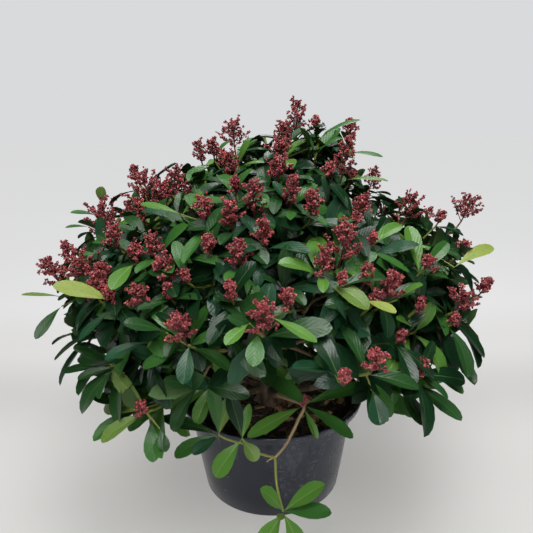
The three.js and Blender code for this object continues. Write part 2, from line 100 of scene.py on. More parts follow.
class Pattern:
    """Short ways to add nodes to a node tree. Each adds one or two and gives the socket that comes out."""

    def __init__(self, tree):
        self.nodes, self.links = tree.nodes, tree.links

    def feed(self, node, values):
        """Gives a node's inputs their values, each a number, a colour or the socket that it follows."""
        for label, value in values.items():
            if isinstance(value, bpy.types.NodeSocket):
                self.links.new(value, node.inputs[label])
            else:
                node.inputs[label].default_value = value

    def add(self, kind, output, values=None, **settings):
        """Adds a node of a kind, feeds it, and gives the output of that name."""
        node = self.nodes.new(f"ShaderNode{kind}")
        for setting, value in settings.items():
            setattr(node, setting, value)
        self.feed(node, values or {})
        return node.outputs[output]

    def finish(self, values):
        """Feeds the material's own shader."""
        self.feed(self.nodes["Principled BSDF"], values)

    def move(self, value, low, high, to_low=0.0, to_high=1.0):
        """A value's range moved to another range and cut off there."""
        return self.add("MapRange", "Result", {"Value": value, "From Min": low, "From Max": high,
                                               "To Min": to_low, "To Max": to_high})

    def work(self, operation, first, second=0):
        """A sum, a product or the like of two values."""
        return self.add("Math", "Value", {0: first, 1: second}, operation=operation)

    def mix(self, share, first, second):
        """Two colours mixed by a share."""
        return self.add("Mix", "Result", {"Factor": share, "A": first, "B": second}, data_type="RGBA")

    def noise(self, place, scale, stretch=(1, 1, 1), detail=4.0, rough=0.6):
        """A noise over stretched coordinates."""
        stretched = self.add("Mapping", "Vector", {"Vector": place, "Scale": stretch})
        return self.add("TexNoise", "Fac", {"Vector": stretched, "Scale": scale, "Detail": detail,
                                            "Roughness": rough})

    def relief(self, height, strength, distance):
        """A surface that looks as though it rose and fell with a height."""
        return self.add("Bump", "Normal", {"Height": height, "Strength": strength, "Distance": distance})


def lamp(name, place, aim, size, power, spread=180):
    """A square lamp that shines from a place towards another, in a cone of so many degrees."""
    bpy.ops.object.light_add(type="AREA", location=place)
    light = bpy.context.object
    light.name = name
    light.data.size = size
    light.data.energy = power
    light.data.spread = math.radians(spread)
    light.rotation_euler = (Vector(aim) - Vector(place)).to_track_quat("-Z", "Y").to_euler()


print("The helpers are ready")

# %% Lay the floor
# These tones colour the glow. The dip at 0.30 and the dark stop at 0.39 are a painted band of shade where a
# backdrop's fold would meet the floor. The rest is the sheet's even pale tone.
SHEET_TONES_AND_SEAM_SHADE = SimpleNamespace(near=-0.8, far=2.2, tones=(  # metres from the pot, and tones at shares of the way
    (0.0, (206, 205, 202)), (0.30, (194, 193, 190)), (0.39, (172, 172, 169)), (0.50, (204, 204, 203)),
    (0.66, (218, 219, 221))))
# The sheet's emission is a painted glow from something that is no lamp. It fills in the shadows on the floor,
# a little more further back, where the lamps fall off.
PAINTED_GLOW = SimpleNamespace(near=-0.2, far=3.2, weakest=0.555, strongest=0.65)

bpy.ops.mesh.primitive_plane_add(size=40)
floor = bpy.context.object
floor.name = "floor"
sheet = plain_material("floor_paper", paint(146, 145, 144), 0.8, 0.2)
floor.data.materials.append(sheet)
pattern = Pattern(sheet.node_tree)
depth = pattern.add("SeparateXYZ", "Y", {"Vector": pattern.add("TexCoord", "Object")})
ramp = pattern.nodes.new("ShaderNodeValToRGB")
ramp.color_ramp.interpolation = "EASE"
for number, (share, tone) in enumerate(SHEET_TONES_AND_SEAM_SHADE.tones):
    stop = ramp.color_ramp.elements[number] if number < 2 else ramp.color_ramp.elements.new(share)
    stop.position, stop.color = share, paint(*tone)
pattern.feed(ramp, {"Fac": pattern.move(depth, SHEET_TONES_AND_SEAM_SHADE.near, SHEET_TONES_AND_SEAM_SHADE.far)})
pattern.finish({"Emission Color": ramp.outputs["Color"],
                "Emission Strength": pattern.move(depth, PAINTED_GLOW.near, PAINTED_GLOW.far, PAINTED_GLOW.weakest, PAINTED_GLOW.strongest)})
print("The floor is", tuple(floor.dimensions), "metres")

# %% Hang the lamps under a pale sky
bpy.ops.object.light_add(type="SUN", rotation=(math.radians(11), math.radians(-3), 0))
skylight = bpy.context.object
skylight.name = "skylight"
skylight.data.energy = 2.6
skylight.data.angle = math.radians(60)
lamp("front_lamp", (-0.5, -2.3, 2.6), (0, 0, 0.4), 1.0, 27)
lamp("top_box", (0.3, -0.9, 2.3), (0, 0, 0.4), 0.9, 28)
lamp("low_fill", (0.1, -1.8, 0.75), (0, -0.15, 0.13), 0.4, 0.36, 24)  # reaches under the crown
lamp("back_lamp", (0.3, 1.5, 2.1), (0, 0.1, 0.55), 0.9, 12)  # the rear leaves get lit edges

SKY_LIGHT, SKY_SEEN = 0.06, 0.93  # its strength for what it lights, and for the eye that looks at it
sky = bpy.data.worlds.new("pale_sky")
sky.use_nodes = True
pattern = Pattern(sky.node_tree)
seen = pattern.add("LightPath", "Is Camera Ray")
pattern.feed(pattern.nodes["Background"], {"Color": paint(224, 225, 227),
                                           "Strength": pattern.move(seen, 0, 1, SKY_LIGHT, SKY_SEEN)})
bpy.context.scene.world = sky
bpy.context.scene.view_settings.view_transform = "Standard"
print("A wide skylight, four lamps and a pale sky light the floor")

# %% [markdown]
# ## Tools of the trade
# Each step below works on one object at a time, so a helper first lets go of all else. Faces are picked in
# code, by where they are and which way they look, as one would click on them. A modifier is always applied,
# so that the mesh holds the finished shape.


# %% Helpers for picking, shaping and finishing
def take(piece):
    """Leaves edit mode and selects one object and nothing else."""
    if bpy.context.mode != "OBJECT":
        bpy.ops.object.mode_set(mode="OBJECT")
    bpy.ops.object.select_all(action="DESELECT")
    piece.select_set(True)
    bpy.context.view_layer.objects.active = piece


def pick_faces(piece, wanted):
    """Goes to edit mode with those faces selected whose middle and normal are wanted."""
    take(piece)
    bpy.ops.object.mode_set(mode="EDIT")
    bpy.ops.mesh.select_mode(type="FACE")
    bpy.ops.mesh.select_all(action="DESELECT")
    bpy.ops.object.mode_set(mode="OBJECT")
    for face in piece.data.polygons:
        face.select = wanted(face.center, face.normal)
    bpy.ops.object.mode_set(mode="EDIT")


def raise_ring(height, radius_before, radius_after):
    """Extrudes the picked disc to a height above it and then makes it wider or narrower."""
    bpy.ops.mesh.extrude_region_move(TRANSFORM_OT_translate={"value": (0, 0, height)})
    share = radius_after / radius_before
    bpy.ops.transform.resize(value=(share, share, 1))


def apply_modifier(piece, kind, **settings):
    """Adds a modifier with its settings and applies it."""
    take(piece)
    modifier = piece.modifiers.new(kind.title(), kind)
    for setting, value in settings.items():
        setattr(modifier, setting, value)
    bpy.ops.object.modifier_apply(modifier=modifier.name)


def finish_piece(piece, name, slot, *nodes):
    """Names a piece, hangs it on the root body, and lets it stand for the solids that it replaces. Its slot
    is not used.
    """
    piece.name = piece.data.name = name
    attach(piece, "root")
    if nodes:
        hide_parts(*nodes)
    piece.data.calc_loop_triangles()
    print(name, "has", len(piece.data.loop_triangles), "triangles")


def roughen(piece, name, size, strength, mid_level, **settings):
    """Moves a piece's skin in and out with a cloudy pattern."""
    texture = bpy.data.textures.new(name, "CLOUDS")
    texture.noise_scale = size
    texture.noise_depth = 3
    apply_modifier(piece, "DISPLACE", texture=texture, texture_coords="GLOBAL", strength=strength,
                   mid_level=mid_level, **settings)


def effect_group(name, inputs, outputs):
    """An empty node group with named sockets, and its first and last node."""
    group = bpy.data.node_groups.new(name, "ShaderNodeTree")
    for label, value in inputs.items():
        kind = "NodeSocketVector" if value is None else "NodeSocketFloat"
        socket = group.interface.new_socket(label, in_out="INPUT", socket_type=kind)
        if value is not None:
            socket.default_value = value
    for label in outputs:
        group.interface.new_socket(label, in_out="OUTPUT", socket_type="NodeSocketFloat")
    return group, group.nodes.new("NodeGroupInput"), group.nodes.new("NodeGroupOutput")


print("Now each piece can be picked, shaped and finished")

# %% [markdown]
# ## The black plastic pot
# A nursery pot is blown from one thin sheet: a low tapering wall, a step out to a stiff collar, and a rolled
# lip. It could be turned from an outline. Here it is pulled up from a disc instead, ring after ring, because
# each extrusion is one feature that can be measured. Six holes are cut in the bottom for the water.

# %% Pull the pot up from a disc
POT = SimpleNamespace(height=0.201, foot=0.142, shoulder=0.171, rim=0.190, collar=0.015, wall=0.003,
                      floor=0.004, sides=96, heel=0.982)  # the heel is how far the underside is drawn in
shoulder_height = POT.height - POT.collar


def pot_radius(height):
    """The outside of the wall at a height."""
    return POT.foot + (POT.shoulder - POT.foot) * height / shoulder_height


bpy.ops.object.select_all(action="DESELECT")
bpy.ops.mesh.primitive_cylinder_add(vertices=POT.sides, radius=POT.foot, depth=POT.floor,
                                    location=(0, 0, POT.floor / 2))
pot = bpy.context.object
bpy.ops.object.transform_apply(location=True)
pick_faces(pot, lambda centre, normal: normal.z < -0.5)
bpy.ops.transform.resize(value=(POT.heel, POT.heel, 1))
pick_faces(pot, lambda centre, normal: normal.z > 0.5)
lip_drop = 0.004
rings = [  # height and outer radius, from the foot over the lip and down to the inside of the floor
    (0.045, pot_radius(0.045)),
    (0.120, pot_radius(0.120)),
    (shoulder_height - 0.006, pot_radius(shoulder_height - 0.006)),
    (shoulder_height - 0.004, pot_radius(shoulder_height) - 0.0012),
    (shoulder_height, POT.shoulder),
    (shoulder_height + 0.001, POT.rim - 0.003),
    (POT.height - lip_drop, POT.rim),
    (POT.height - 0.001, POT.rim - 0.0005),
    (POT.height, POT.rim - 0.002),
    (POT.height, POT.rim - 0.006),
    (POT.height - 0.001, POT.rim - 0.0075),
    (shoulder_height + 0.002, POT.shoulder - POT.wall + 0.001),
    (shoulder_height - 0.004, POT.shoulder - POT.wall),
    (POT.floor, pot_radius(POT.floor) - POT.wall),
]
height_now, radius_now = POT.floor, POT.foot
for height, radius in rings:
    raise_ring(height - height_now, radius_now, radius)
    height_now, radius_now = height, radius
bpy.ops.object.mode_set(mode="OBJECT")
print("The pot has", len(rings), "rings above its foot")

# %% Cut the drain holes and soften the edges
HOLES = SimpleNamespace(count=6, radius=0.006, out=0.105)  # out is how far they are from the axis
bpy.ops.object.select_all(action="DESELECT")
drills = []
for i in range(HOLES.count):
    around = i * 2 * math.pi / HOLES.count
    bpy.ops.mesh.primitive_cylinder_add(
        vertices=16, radius=HOLES.radius, depth=0.03,
        location=(HOLES.out * math.cos(around), HOLES.out * math.sin(around), 0))
    drills.append(bpy.context.object)
for drill in drills:
    drill.select_set(True)
bpy.ops.object.join()
drill = bpy.context.object
apply_modifier(pot, "BOOLEAN", object=drill, operation="DIFFERENCE", solver="EXACT")
bpy.data.objects.remove(drill)
apply_modifier(pot, "BEVEL", width=0.0007, segments=2, limit_method="ANGLE", angle_limit=math.radians(25))
take(pot)
bpy.ops.object.shade_smooth_by_angle(angle=math.radians(40))
print("The pot has", len(pot.data.polygons), "faces")

# %% [markdown]
# Black plastic isn't black for long. Fine dust and splashes of potting mix settle on it in streaks, and
# handling leaves thin pale scuffs. Both are one effect group: the dust is a soft noise, and the scuffs are a
# stretched one that is cut off hard. The group gives a share of each and a height, and the material turns
# them into colour, roughness and relief.

# %% The dust and scuffs effect
dust_group, inside, outside = effect_group(
    "dust_and_scuffs", {"Vector": None, "Dust": 0.5, "Scuffs": 0.5}, ["Dust", "Scuffs", "Height"])
pattern = Pattern(dust_group)
place = inside.outputs["Vector"]
streaks = pattern.move(pattern.noise(place, 9, (1, 1, 0.35), 6, 0.7), 0.45, 0.75)
specks = pattern.move(pattern.noise(place, 160, (1, 1, 0.5), 2), 0.3, 0.75, 0.4, 1.0)
dust = pattern.work("MULTIPLY", pattern.work("MULTIPLY", streaks, specks), inside.outputs["Dust"])
scratches = pattern.move(pattern.noise(place, 30, (1, 1, 9), 3), 0.62, 0.70)
handled = pattern.move(pattern.noise(place, 7, (1, 1, 1), 2), 0.5, 0.65)
scuffs = pattern.work("MULTIPLY", pattern.work("MULTIPLY", scratches, handled), inside.outputs["Scuffs"])
grain = pattern.noise(place, 420, (1, 1, 1), 2)
pattern.feed(outside, {"Dust": dust, "Scuffs": scuffs, "Height": pattern.work("ADD", grain, scuffs)})
print("The dust group has", len(dust_group.nodes), "nodes")

# %% Give the pot its plastic
CLEAN, DUSTY = paint(15, 23, 37), paint(114, 118, 126)
plastic = plain_material("black_plastic", CLEAN, 0.4)
pattern = Pattern(plastic.node_tree)
worn = pattern.nodes.new("ShaderNodeGroup")
worn.node_tree = dust_group
pattern.feed(worn, {"Vector": pattern.add("TexCoord", "Object"), "Dust": 0.40, "Scuffs": 0.5})
marks = pattern.work("MAXIMUM", worn.outputs["Dust"], worn.outputs["Scuffs"])
pattern.finish({"Base Color": pattern.mix(marks, CLEAN, DUSTY),
                "Roughness": pattern.move(marks, 0, 1, 0.22, 0.6),
                "Normal": pattern.relief(worn.outputs["Height"], 0.25, 0.0004)})
pot.data.materials.append(plastic)
finish_piece(pot, "nursery_pot", "pot_plastic", "pot")

# %% [markdown]
# ## Potting mix and bark chips
# The mix is dark and crumbly, a little higher round the stems than at the wall, with tan bark chips that
# float up when it is watered. Its top is a disc that is inset ring by ring until it has enough points for a
# displacement. The chips are one broken cube that is copied many times, and crumbs of the mix another.

# %% Fill the pot with potting mix
SOIL = SimpleNamespace(level=0.172, edge=0.166, bottom=0.0045, gap=0.0005, rings=22, still=0.004)
soil_top_radius = pot_radius(SOIL.edge) - POT.wall - SOIL.gap
soil_foot_radius = pot_radius(SOIL.bottom) - POT.wall - SOIL.gap

bpy.ops.object.select_all(action="DESELECT")
bpy.ops.mesh.primitive_cylinder_add(vertices=64, radius=soil_foot_radius, depth=SOIL.edge - SOIL.bottom,
                                    location=(0, 0, (SOIL.edge + SOIL.bottom) / 2))
soil = bpy.context.object
bpy.ops.object.transform_apply(location=True)
pick_faces(soil, lambda centre, normal: normal.z > 0.5)
spread = soil_top_radius / soil_foot_radius
bpy.ops.transform.resize(value=(spread, spread, 1))
ring_width = soil_top_radius / (SOIL.rings + 0.5)
for ring in range(SOIL.rings):
    bpy.ops.mesh.inset(thickness=ring_width)
    if ring < SOIL.rings // 2:
        bpy.ops.transform.translate(value=(0, 0, 2 * (SOIL.level - SOIL.edge) / SOIL.rings))
bpy.ops.mesh.poke()
bpy.ops.object.mode_set(mode="OBJECT")
top = soil.vertex_groups.new(name="top")
top.add([v.index for v in soil.data.vertices  # all but a still strip along the wall
         if v.co.z > SOIL.edge - 0.001 and v.co.xy.length < soil_top_radius - SOIL.still], 1, "REPLACE")
roughen(soil, "mix_lumps", 0.022, 0.012, 0.55, direction="Z", vertex_group="top")
roughen(soil, "mix_crumbs", 0.006, 0.005, 0.55, direction="Z", vertex_group="top")
take(soil)
bpy.ops.object.shade_smooth_by_angle(angle=math.radians(35))
print("The mix rises to", round(max(v.co.z for v in soil.data.vertices), 4))


# %% Model one chip and one crumb
def broken_lump(size, cuts, roughness, seed):
    """A cube that is cut into small faces and knocked out of shape, as the points of its mesh."""
    bpy.ops.object.select_all(action="DESELECT")
    bpy.ops.mesh.primitive_cube_add(size=1)
    lump = bpy.context.object
    bpy.ops.object.mode_set(mode="EDIT")
    bpy.ops.mesh.select_all(action="SELECT")
    bpy.ops.mesh.subdivide(number_cuts=cuts, fractal=roughness, seed=seed)
    bpy.ops.transform.resize(value=size)
    bpy.ops.object.mode_set(mode="OBJECT")
    points = np.array([v.co for v in lump.data.vertices])
    faces = np.array([[*f.vertices, f.vertices[-1]][:4] for f in lump.data.polygons])
    bpy.data.objects.remove(lump)
    return points, faces


chip_shape = broken_lump((1.0, 0.55, 0.22), cuts=1, roughness=1.2, seed=3)
crumb_shape = broken_lump((1.0, 0.8, 0.7), cuts=1, roughness=1.8, seed=5)
print("A chip has", len(chip_shape[1]), "faces and a crumb", len(crumb_shape[1]))

# %% [markdown]
# Thousands of small things are slow as separate objects. They are kept as plain arrays of points and faces
# in a basket, and become one mesh at the end. Every face has four corners in the basket, and a triangle
# repeats its last one. The basket works in millimetres, as the shrub's measures below do.


# %% A basket for small things
class Basket:
    """Points and faces of many small things, which become one mesh."""

    def __init__(self):
        self.points, self.faces, self.finishes, self.spots = [], [], [], []
        self.count = 0

    def add(self, points, faces, finish=0, spots=None):
        """Adds points in millimetres, faces, a finish for all or each of them, and spots on the leaf."""
        self.points.append(np.asarray(points, float).reshape(-1, 3))
        self.faces.append(np.asarray(faces) + self.count)
        self.finishes.append(np.broadcast_to(finish, len(faces)))
        added = len(self.points[-1])
        self.spots.append(np.zeros((added, 2)) if spots is None else spots)
        self.count += added

    def pour(self, name, materials, slot, *nodes, smooth=60):
        """Makes the mesh of all that is in the basket."""
        faces = np.concatenate(self.faces)
        sizes = np.where(faces[:, 2] == faces[:, 3], 3, 4)
        used = np.ones(faces.shape, bool)
        used[:, 3] = sizes == 4
        corners = faces[used]
        mesh = bpy.data.meshes.new(name)
        mesh.vertices.add(self.count)
        mesh.vertices.foreach_set("co", (np.concatenate(self.points) * 0.001).ravel())
        mesh.loops.add(len(corners))
        mesh.loops.foreach_set("vertex_index", corners.astype(np.int32))
        mesh.polygons.add(len(faces))
        mesh.polygons.foreach_set("loop_start", (np.cumsum(sizes) - sizes).astype(np.int32))
        mesh.polygons.foreach_set("material_index", np.concatenate(self.finishes).astype(np.int32))
        layer = mesh.uv_layers.new(name="leaf_spots")
        layer.data.foreach_set("uv", np.concatenate(self.spots)[corners].ravel())
        mesh.update(calc_edges=True)
        piece = bpy.data.objects.new(name, mesh)
        bpy.context.scene.collection.objects.link(piece)
        for material in materials:
            mesh.materials.append(material)
        take(piece)
        bpy.ops.object.shade_smooth_by_angle(angle=math.radians(smooth))
        finish_piece(piece, name, slot, *nodes)


def unit(vector):
    """A vector, or a row of them, at length 1."""
    vector = np.asarray(vector, float)
    return vector / np.linalg.norm(vector, axis=-1, keepdims=True)


def axes_across(way):
    """Two directions at right angles to this one and to each other."""
    aside = unit(np.cross(way, (0.3, 0.2, 1)))
    return aside, np.cross(way, aside)


def spoke(way, around):
    """The direction at right angles to a way, turned round it by an angle."""
    aside, across = axes_across(way)
    return aside * math.cos(around) + across * math.sin(around)


# %% Strew the chips and crumbs
STREWN = 160  # millimetres from the pot's axis to the farthest lumps


def strew(basket, shape, finishes, count, sizes, seed):
    """Lays copies of a lump on the mix, each turned and sized by its own draw."""
    random = np.random.default_rng(seed)
    points, faces = shape
    for _ in range(count):
        around, out = random.uniform(0, 2 * math.pi), STREWN * math.sqrt(random.uniform(0.02, 1))
        x, y = out * math.cos(around), out * math.sin(around)
        hit, place, normal, _ = soil.ray_cast((x / 1000, y / 1000, 0.3), (0, 0, -1))
        if not hit or place.z < SOIL.edge - 0.01:
            continue
        size = random.uniform(*sizes)
        up = unit(np.array(normal) + random.uniform(-0.4, 0.4, 3))
        along = spoke(up, random.uniform(0, 2 * math.pi))
        axes = np.array([along, np.cross(up, along), up])
        middle = np.array(place) * 1000 + up * size * 0.06
        basket.add(middle + size * (points @ axes), faces, random.integers(len(finishes)))


def mottled_material(name, dark, light, scale, roughness, relief):
    """A material that goes between two colours with a noise, with a relief of the same grain."""
    material = plain_material(name, dark, roughness)
    pattern = Pattern(material.node_tree)
    grain = pattern.noise(pattern.add("TexCoord", "Object"), scale, (1, 1, 1), 6, 0.7)
    pattern.finish({"Base Color": pattern.mix(pattern.move(grain, 0.35, 0.7), dark, light),
                    "Normal": pattern.relief(grain, 0.8, relief)})
    return material


mix_material = mottled_material("potting_mix", paint(20, 15, 12), paint(62, 48, 38), 170, 0.95, 0.002)
soil.data.materials.append(mix_material)
chip_materials = [mottled_material("chip_tan", paint(96, 70, 48), paint(150, 118, 84), 140, 0.85, 0.001),
                  mottled_material("chip_brown", paint(58, 40, 28), paint(104, 76, 52), 140, 0.85, 0.001)]
chips = Basket()
strew(chips, chip_shape, chip_materials, count=190, sizes=(7, 24), seed=11)
chips.pour("bark_chips", chip_materials, "potting_mix", smooth=30)
crumbs = Basket()
strew(crumbs, crumb_shape, [mix_material], count=420, sizes=(3, 8), seed=12)
crumbs.pour("mix_crumbs", [mix_material], "potting_mix", smooth=30)
finish_piece(soil, "potting_mix_bed", "potting_mix", "potting_soil")

# %% [markdown]
# ## The rule of growth
# A skimmia branches low down. Every bough carries one mass of foliage, and every shoot ends in a whorl of
# leaves on a dome that is as wide as the shrub. The shoots spiral round the dome like the seeds of a
# sunflower, and each has its own run of draws, so the shrub grows the same way every time. The solids
# were grown by this same rule; here it is carried on to finer side shoots between the main ones.

# %% The shrub's measures
FORK = np.array([0.0, 0.0, 235.0])  # every limb spreads from around this point
BOUGH = SimpleNamespace(base=8, tip=5.5, reach=0.5, sag=14)
CROWN = SimpleNamespace(
    heart=412, wide=386, high=306, deep=185,  # the height of its widest level, and its reach from there
    boxiness=2.3,  # how flat the underside is
    shoots=152, stray=0.07, turn=0.5,  # how much a shoot's place and its facing stray
    lowest=6, gap_width=27, gap_lift=27,  # degrees: the lowest shoots, and how they rise near the front
    lean=30, lobe=0.45, depth=0.15)  # to the right at the top; at a mass's edges; of the deeper shoots
PANICLE = SimpleNamespace(length=66, breadth=0.85, flowering=0.82, shaded=0.12, rich_above=40)
GOLDEN_ANGLE = math.pi * (3 - math.sqrt(5))
WHORL = 8  # leaves
SEED = 4000
MASSES = {  # name: azimuth from the front, rise above level, both in degrees, and reach
    "crown_top": (70, 85, 1.03),
    "upper_front": (-12, 59, 1.0),
    "upper_right": (76, 60, 0.78),
    "upper_back": (165, 58, 1.0),
    "upper_left": (264, 58, 0.96),
    "middle_front": (4, 33, 1.02),
    "middle_front_right": (55, 33, 1.0),
    "right_arm": (102, 36, 1.0),
    "middle_back_right": (152, 32, 1.0),
    "middle_back_left": (206, 32, 1.0),
    "left_arm": (262, 35, 1.02),
    "middle_front_left": (311, 33, 1.0),
    "skirt_front_right": (48, 10, 0.93),
    "skirt_right": (98, 10, 0.95),
    "skirt_back_right": (150, 10, 0.95),
    "skirt_back_left": (206, 10, 0.95),
    "skirt_left": (262, 10, 0.95),
    "skirt_front_left": (316, 9, 0.97),
}


def direction_of(azimuth, rise):
    """The unit vector at an azimuth from the front and a rise above level."""
    a, e = math.radians(azimuth), math.radians(rise)
    return np.array([math.sin(a) * math.cos(e), -math.cos(a) * math.cos(e), math.sin(e)])


def dome_reach(direction):
    """How far the dome of whorls is from the fork in a direction."""
    heart = CROWN.heart - FORK[2]
    near, far = 0.0, 2.0 * (CROWN.high + heart)
    for _ in range(40):
        reach = (near + far) / 2
        level, rise = math.hypot(direction[0], direction[1]) * reach, direction[2] * reach - heart
        power, depth = (2, CROWN.high) if rise > 0 else (CROWN.boxiness, CROWN.deep)
        inside = (level / CROWN.wide) ** power + (abs(rise) / depth) ** power < 1
        near, far = (reach, far) if inside else (near, reach)
    return near


masses = {}
for name, (azimuth, rise, reach) in MASSES.items():
    axis = direction_of(azimuth, rise)
    end = FORK + axis * dome_reach(axis) * reach
    masses[name] = SimpleNamespace(name=name, azimuth=azimuth, rise=rise, reach=reach, axis=axis, end=end,
                                   bough_tip=FORK + BOUGH.reach * (end - FORK), stem_way=axis)
print("The tallest mass ends at", round(max(mass.end[2] for mass in masses.values())), "mm")


# %% Main shoots, where the solids have them
def seeded(seed):
    """A generator of numbers from 0 to 1 that gives the same run for the same seed."""
    full = 0xFFFFFFFF
    state = seed & full

    def draw():
        nonlocal state
        state = (state + 0x6D2B79F5) & full
        t = (state ^ (state >> 15)) * (1 | state) & full
        t = ((t + ((t ^ (t >> 7)) * (61 | t) & full)) & full) ^ t
        return (t ^ (t >> 14)) / 4294967296

    return draw


def mass_nearest(direction):
    """The mass whose direction is nearest to this one."""
    return max(masses.values(), key=lambda mass: mass.axis @ direction)


def lowest_rise(direction):
    """The lowest rise of a shoot at this azimuth: the underside is open at the front."""
    azimuth = math.degrees(math.atan2(direction[0], -direction[1]))
    return CROWN.lowest + CROWN.gap_lift * math.exp(-((azimuth / CROWN.gap_width) ** 2))


def reach_along(direction):
    """The mass that owns a direction, and how far its whorls reach there: less between two masses."""
    mass = mass_nearest(direction)
    off = math.acos(min(1.0, mass.axis @ direction))
    return mass, dome_reach(direction) * mass.reach * (1 - CROWN.lobe * off * off)


def lean_at(height):
    """How far the crown leans to the right at a height."""
    return CROWN.lean * max(0.0, (height - CROWN.heart) / CROWN.high) ** 2


def hub_at(direction, share):
    """The mass that owns a direction, and the middle of a whorl there at a share of its reach."""
    mass, reach = reach_along(direction)
    hub = FORK + direction * reach * share
    hub[0] += lean_at(hub[2])
    return mass, hub


def in_crown(place):
    """The mass that a place is in, how far the whorls reach that way, and how far out the place itself is."""
    straight = place - (lean_at(place[2]), 0, 0) - FORK
    out = np.linalg.norm(straight)
    return *reach_along(straight / out), out


def facing_of(hub, scatter):
    """The way that a shoot points: outwards, and up to the light."""
    outward = unit([hub[0], hub[1], (hub[2] - CROWN.heart) * 0.8])
    lift = 0.42 if hub[2] > CROWN.heart - 60 else 0.1  # the lowest shoots find less light above them
    return unit(outward + (0, 0, lift) + scatter)


def lattice_direction(k, count, scatter):
    """Direction k of a spiral lattice over the dome, or None under the crown's lower edge."""
    rise = 1 - ((k + 0.5) / count) * (1 - math.sin(math.radians(CROWN.lowest)))
    level = math.sqrt(1 - rise * rise)
    around = k * GOLDEN_ANGLE
    direction = unit(np.array([math.cos(around) * level, math.sin(around) * level, rise]) + scatter)
    return direction if direction[2] >= math.sin(math.radians(lowest_rise(direction))) else None


def main_shoot(k):
    """Shoot number k of the solids."""
    draw = seeded(SEED + k * 7)

    def scatter(amount):
        return np.array([draw() - 0.5, draw() - 0.5, draw() - 0.5]) * amount

    direction = lattice_direction(k, CROWN.shoots, scatter(CROWN.stray))
    if direction is None:
        return None
    mass, hub = hub_at(direction, 1 - CROWN.depth * draw() ** 2)
    facing = facing_of(hub, scatter(CROWN.turn))
    lit = hub[2] > CROWN.heart + PANICLE.rich_above
    flowers = draw() < (PANICLE.flowering if lit else PANICLE.shaded)
    length = PANICLE.length * (0.75 + 0.5 * draw())
    return SimpleNamespace(mass=mass, hub=hub, facing=facing, draw=draw, main=True, showy=False,
                           leaves=WHORL, heads=int(flowers), length=length,
                           width=PANICLE.breadth * length)


shoots = [shoot for shoot in map(main_shoot, range(CROWN.shoots)) if shoot]
print("The rule gives", len(shoots), "main shoots")

# %% [markdown]
# Flower heads are what a buyer looks at first. The largest stand at the front and on the shoulders, so they
# are listed one by one. Each row says where one is seen from the camera, on the upright plane through the
# pot's axis, and how long and wide it is. A line of sight through that point gives its place on the dome. A
# main shoot that is close to one becomes that shoot.

# %% Showy heads and side shoots
SHOWY = [  # millimetres right of the axis and up, then length and width
    (-65, 730, 52, 56), (-130, 700, 42, 34), (-75, 675, 40, 44), (-255, 660, 34, 26), (-235, 625, 64, 84),
    (-175, 640, 74, 50), (-320, 570, 74, 86), (-305, 535, 34, 38), (-125, 590, 34, 38), (-75, 580, 42, 38),
    (-65, 635, 26, 20), (-30, 615, 56, 38), (-10, 545, 42, 32), (-230, 520, 36, 38), (-265, 505, 24, 30),
    (-210, 470, 40, 46), (-120, 520, 26, 26), (-60, 500, 44, 38), (-440, 475, 38, 44), (-400, 510, 38, 34),
    (-375, 470, 56, 72), (-335, 465, 36, 30), (-355, 425, 24, 24), (-265, 415, 32, 38), (-80, 425, 26, 22),
    (-185, 345, 50, 52), (-15, 370, 54, 42), (-170, 455, 16, 16), (55, 765, 58, 44), (30, 730, 38, 38),
    (90, 745, 36, 28), (150, 695, 76, 40), (155, 735, 34, 34), (45, 630, 48, 30), (20, 665, 36, 42),
    (200, 645, 46, 38), (180, 590, 40, 40), (150, 525, 66, 52), (110, 485, 44, 32), (205, 525, 18, 18),
    (245, 430, 52, 40), (195, 455, 36, 24), (275, 590, 52, 56), (245, 560, 24, 24), (385, 580, 46, 66),
    (335, 565, 22, 26), (385, 505, 20, 28), (315, 475, 18, 26), (435, 425, 30, 30), (390, 395, 34, 50),
    (380, 355, 16, 16), (35, 405, 26, 28), (145, 445, 14, 16), (305, 390, 18, 18), (270, 320, 18, 14),
    (220, 265, 34, 36), (155, 230, 18, 22), (315, 250, 24, 32), (-280, 165, 26, 22), (-105, 705, 32, 32),
    (-250, 590, 38, 28), (-205, 425, 26, 20), (-325, 415, 26, 24), (25, 700, 24, 42), (115, 660, 22, 26),
    (155, 645, 24, 38), (215, 405, 20, 20), (170, 565, 18, 18), (85, 600, 38, 34),
    (-425, 455, 44, 50), (-345, 445, 36, 40), (-205, 625, 50, 40),
]

UPRIGHT = 0.9  # how much more upright a head stands than its shoot
LIFT = np.array([0, 0, 0.35])  # how much more upright a showy shoot is than the others
SUNK = 0.74  # how far down its head a shoot's end is from the middle that the eye sees, as a share of it
SAME_SHOOT, CROWDED, OWN_ROOM = 45, 55, 90  # millimetres between the ends of two shoots


def distance_to(hub, others):
    """How far a place is from the nearest of these shoots."""
    return min((np.linalg.norm(other.hub - hub) for other in others), default=1e9)


def seen_on_dome(right, up):
    """Where the line of sight through a point of the upright plane first comes to the dome."""
    eye = np.array(CAMERA_PLACE) * 1000
    way = unit(np.array([right, 0, up]) - eye)
    surface = 1.03 if up > 270 else 1.12  # as a share of the reach: low heads stand further out
    least, nearest = math.inf, None
    for far in np.arange(600, 1400, 6):
        place = eye + way * far
        _, reach, out = in_crown(place)
        if out / reach < least:
            least, nearest = out / reach, place
        if least < surface:
            break
    return nearest


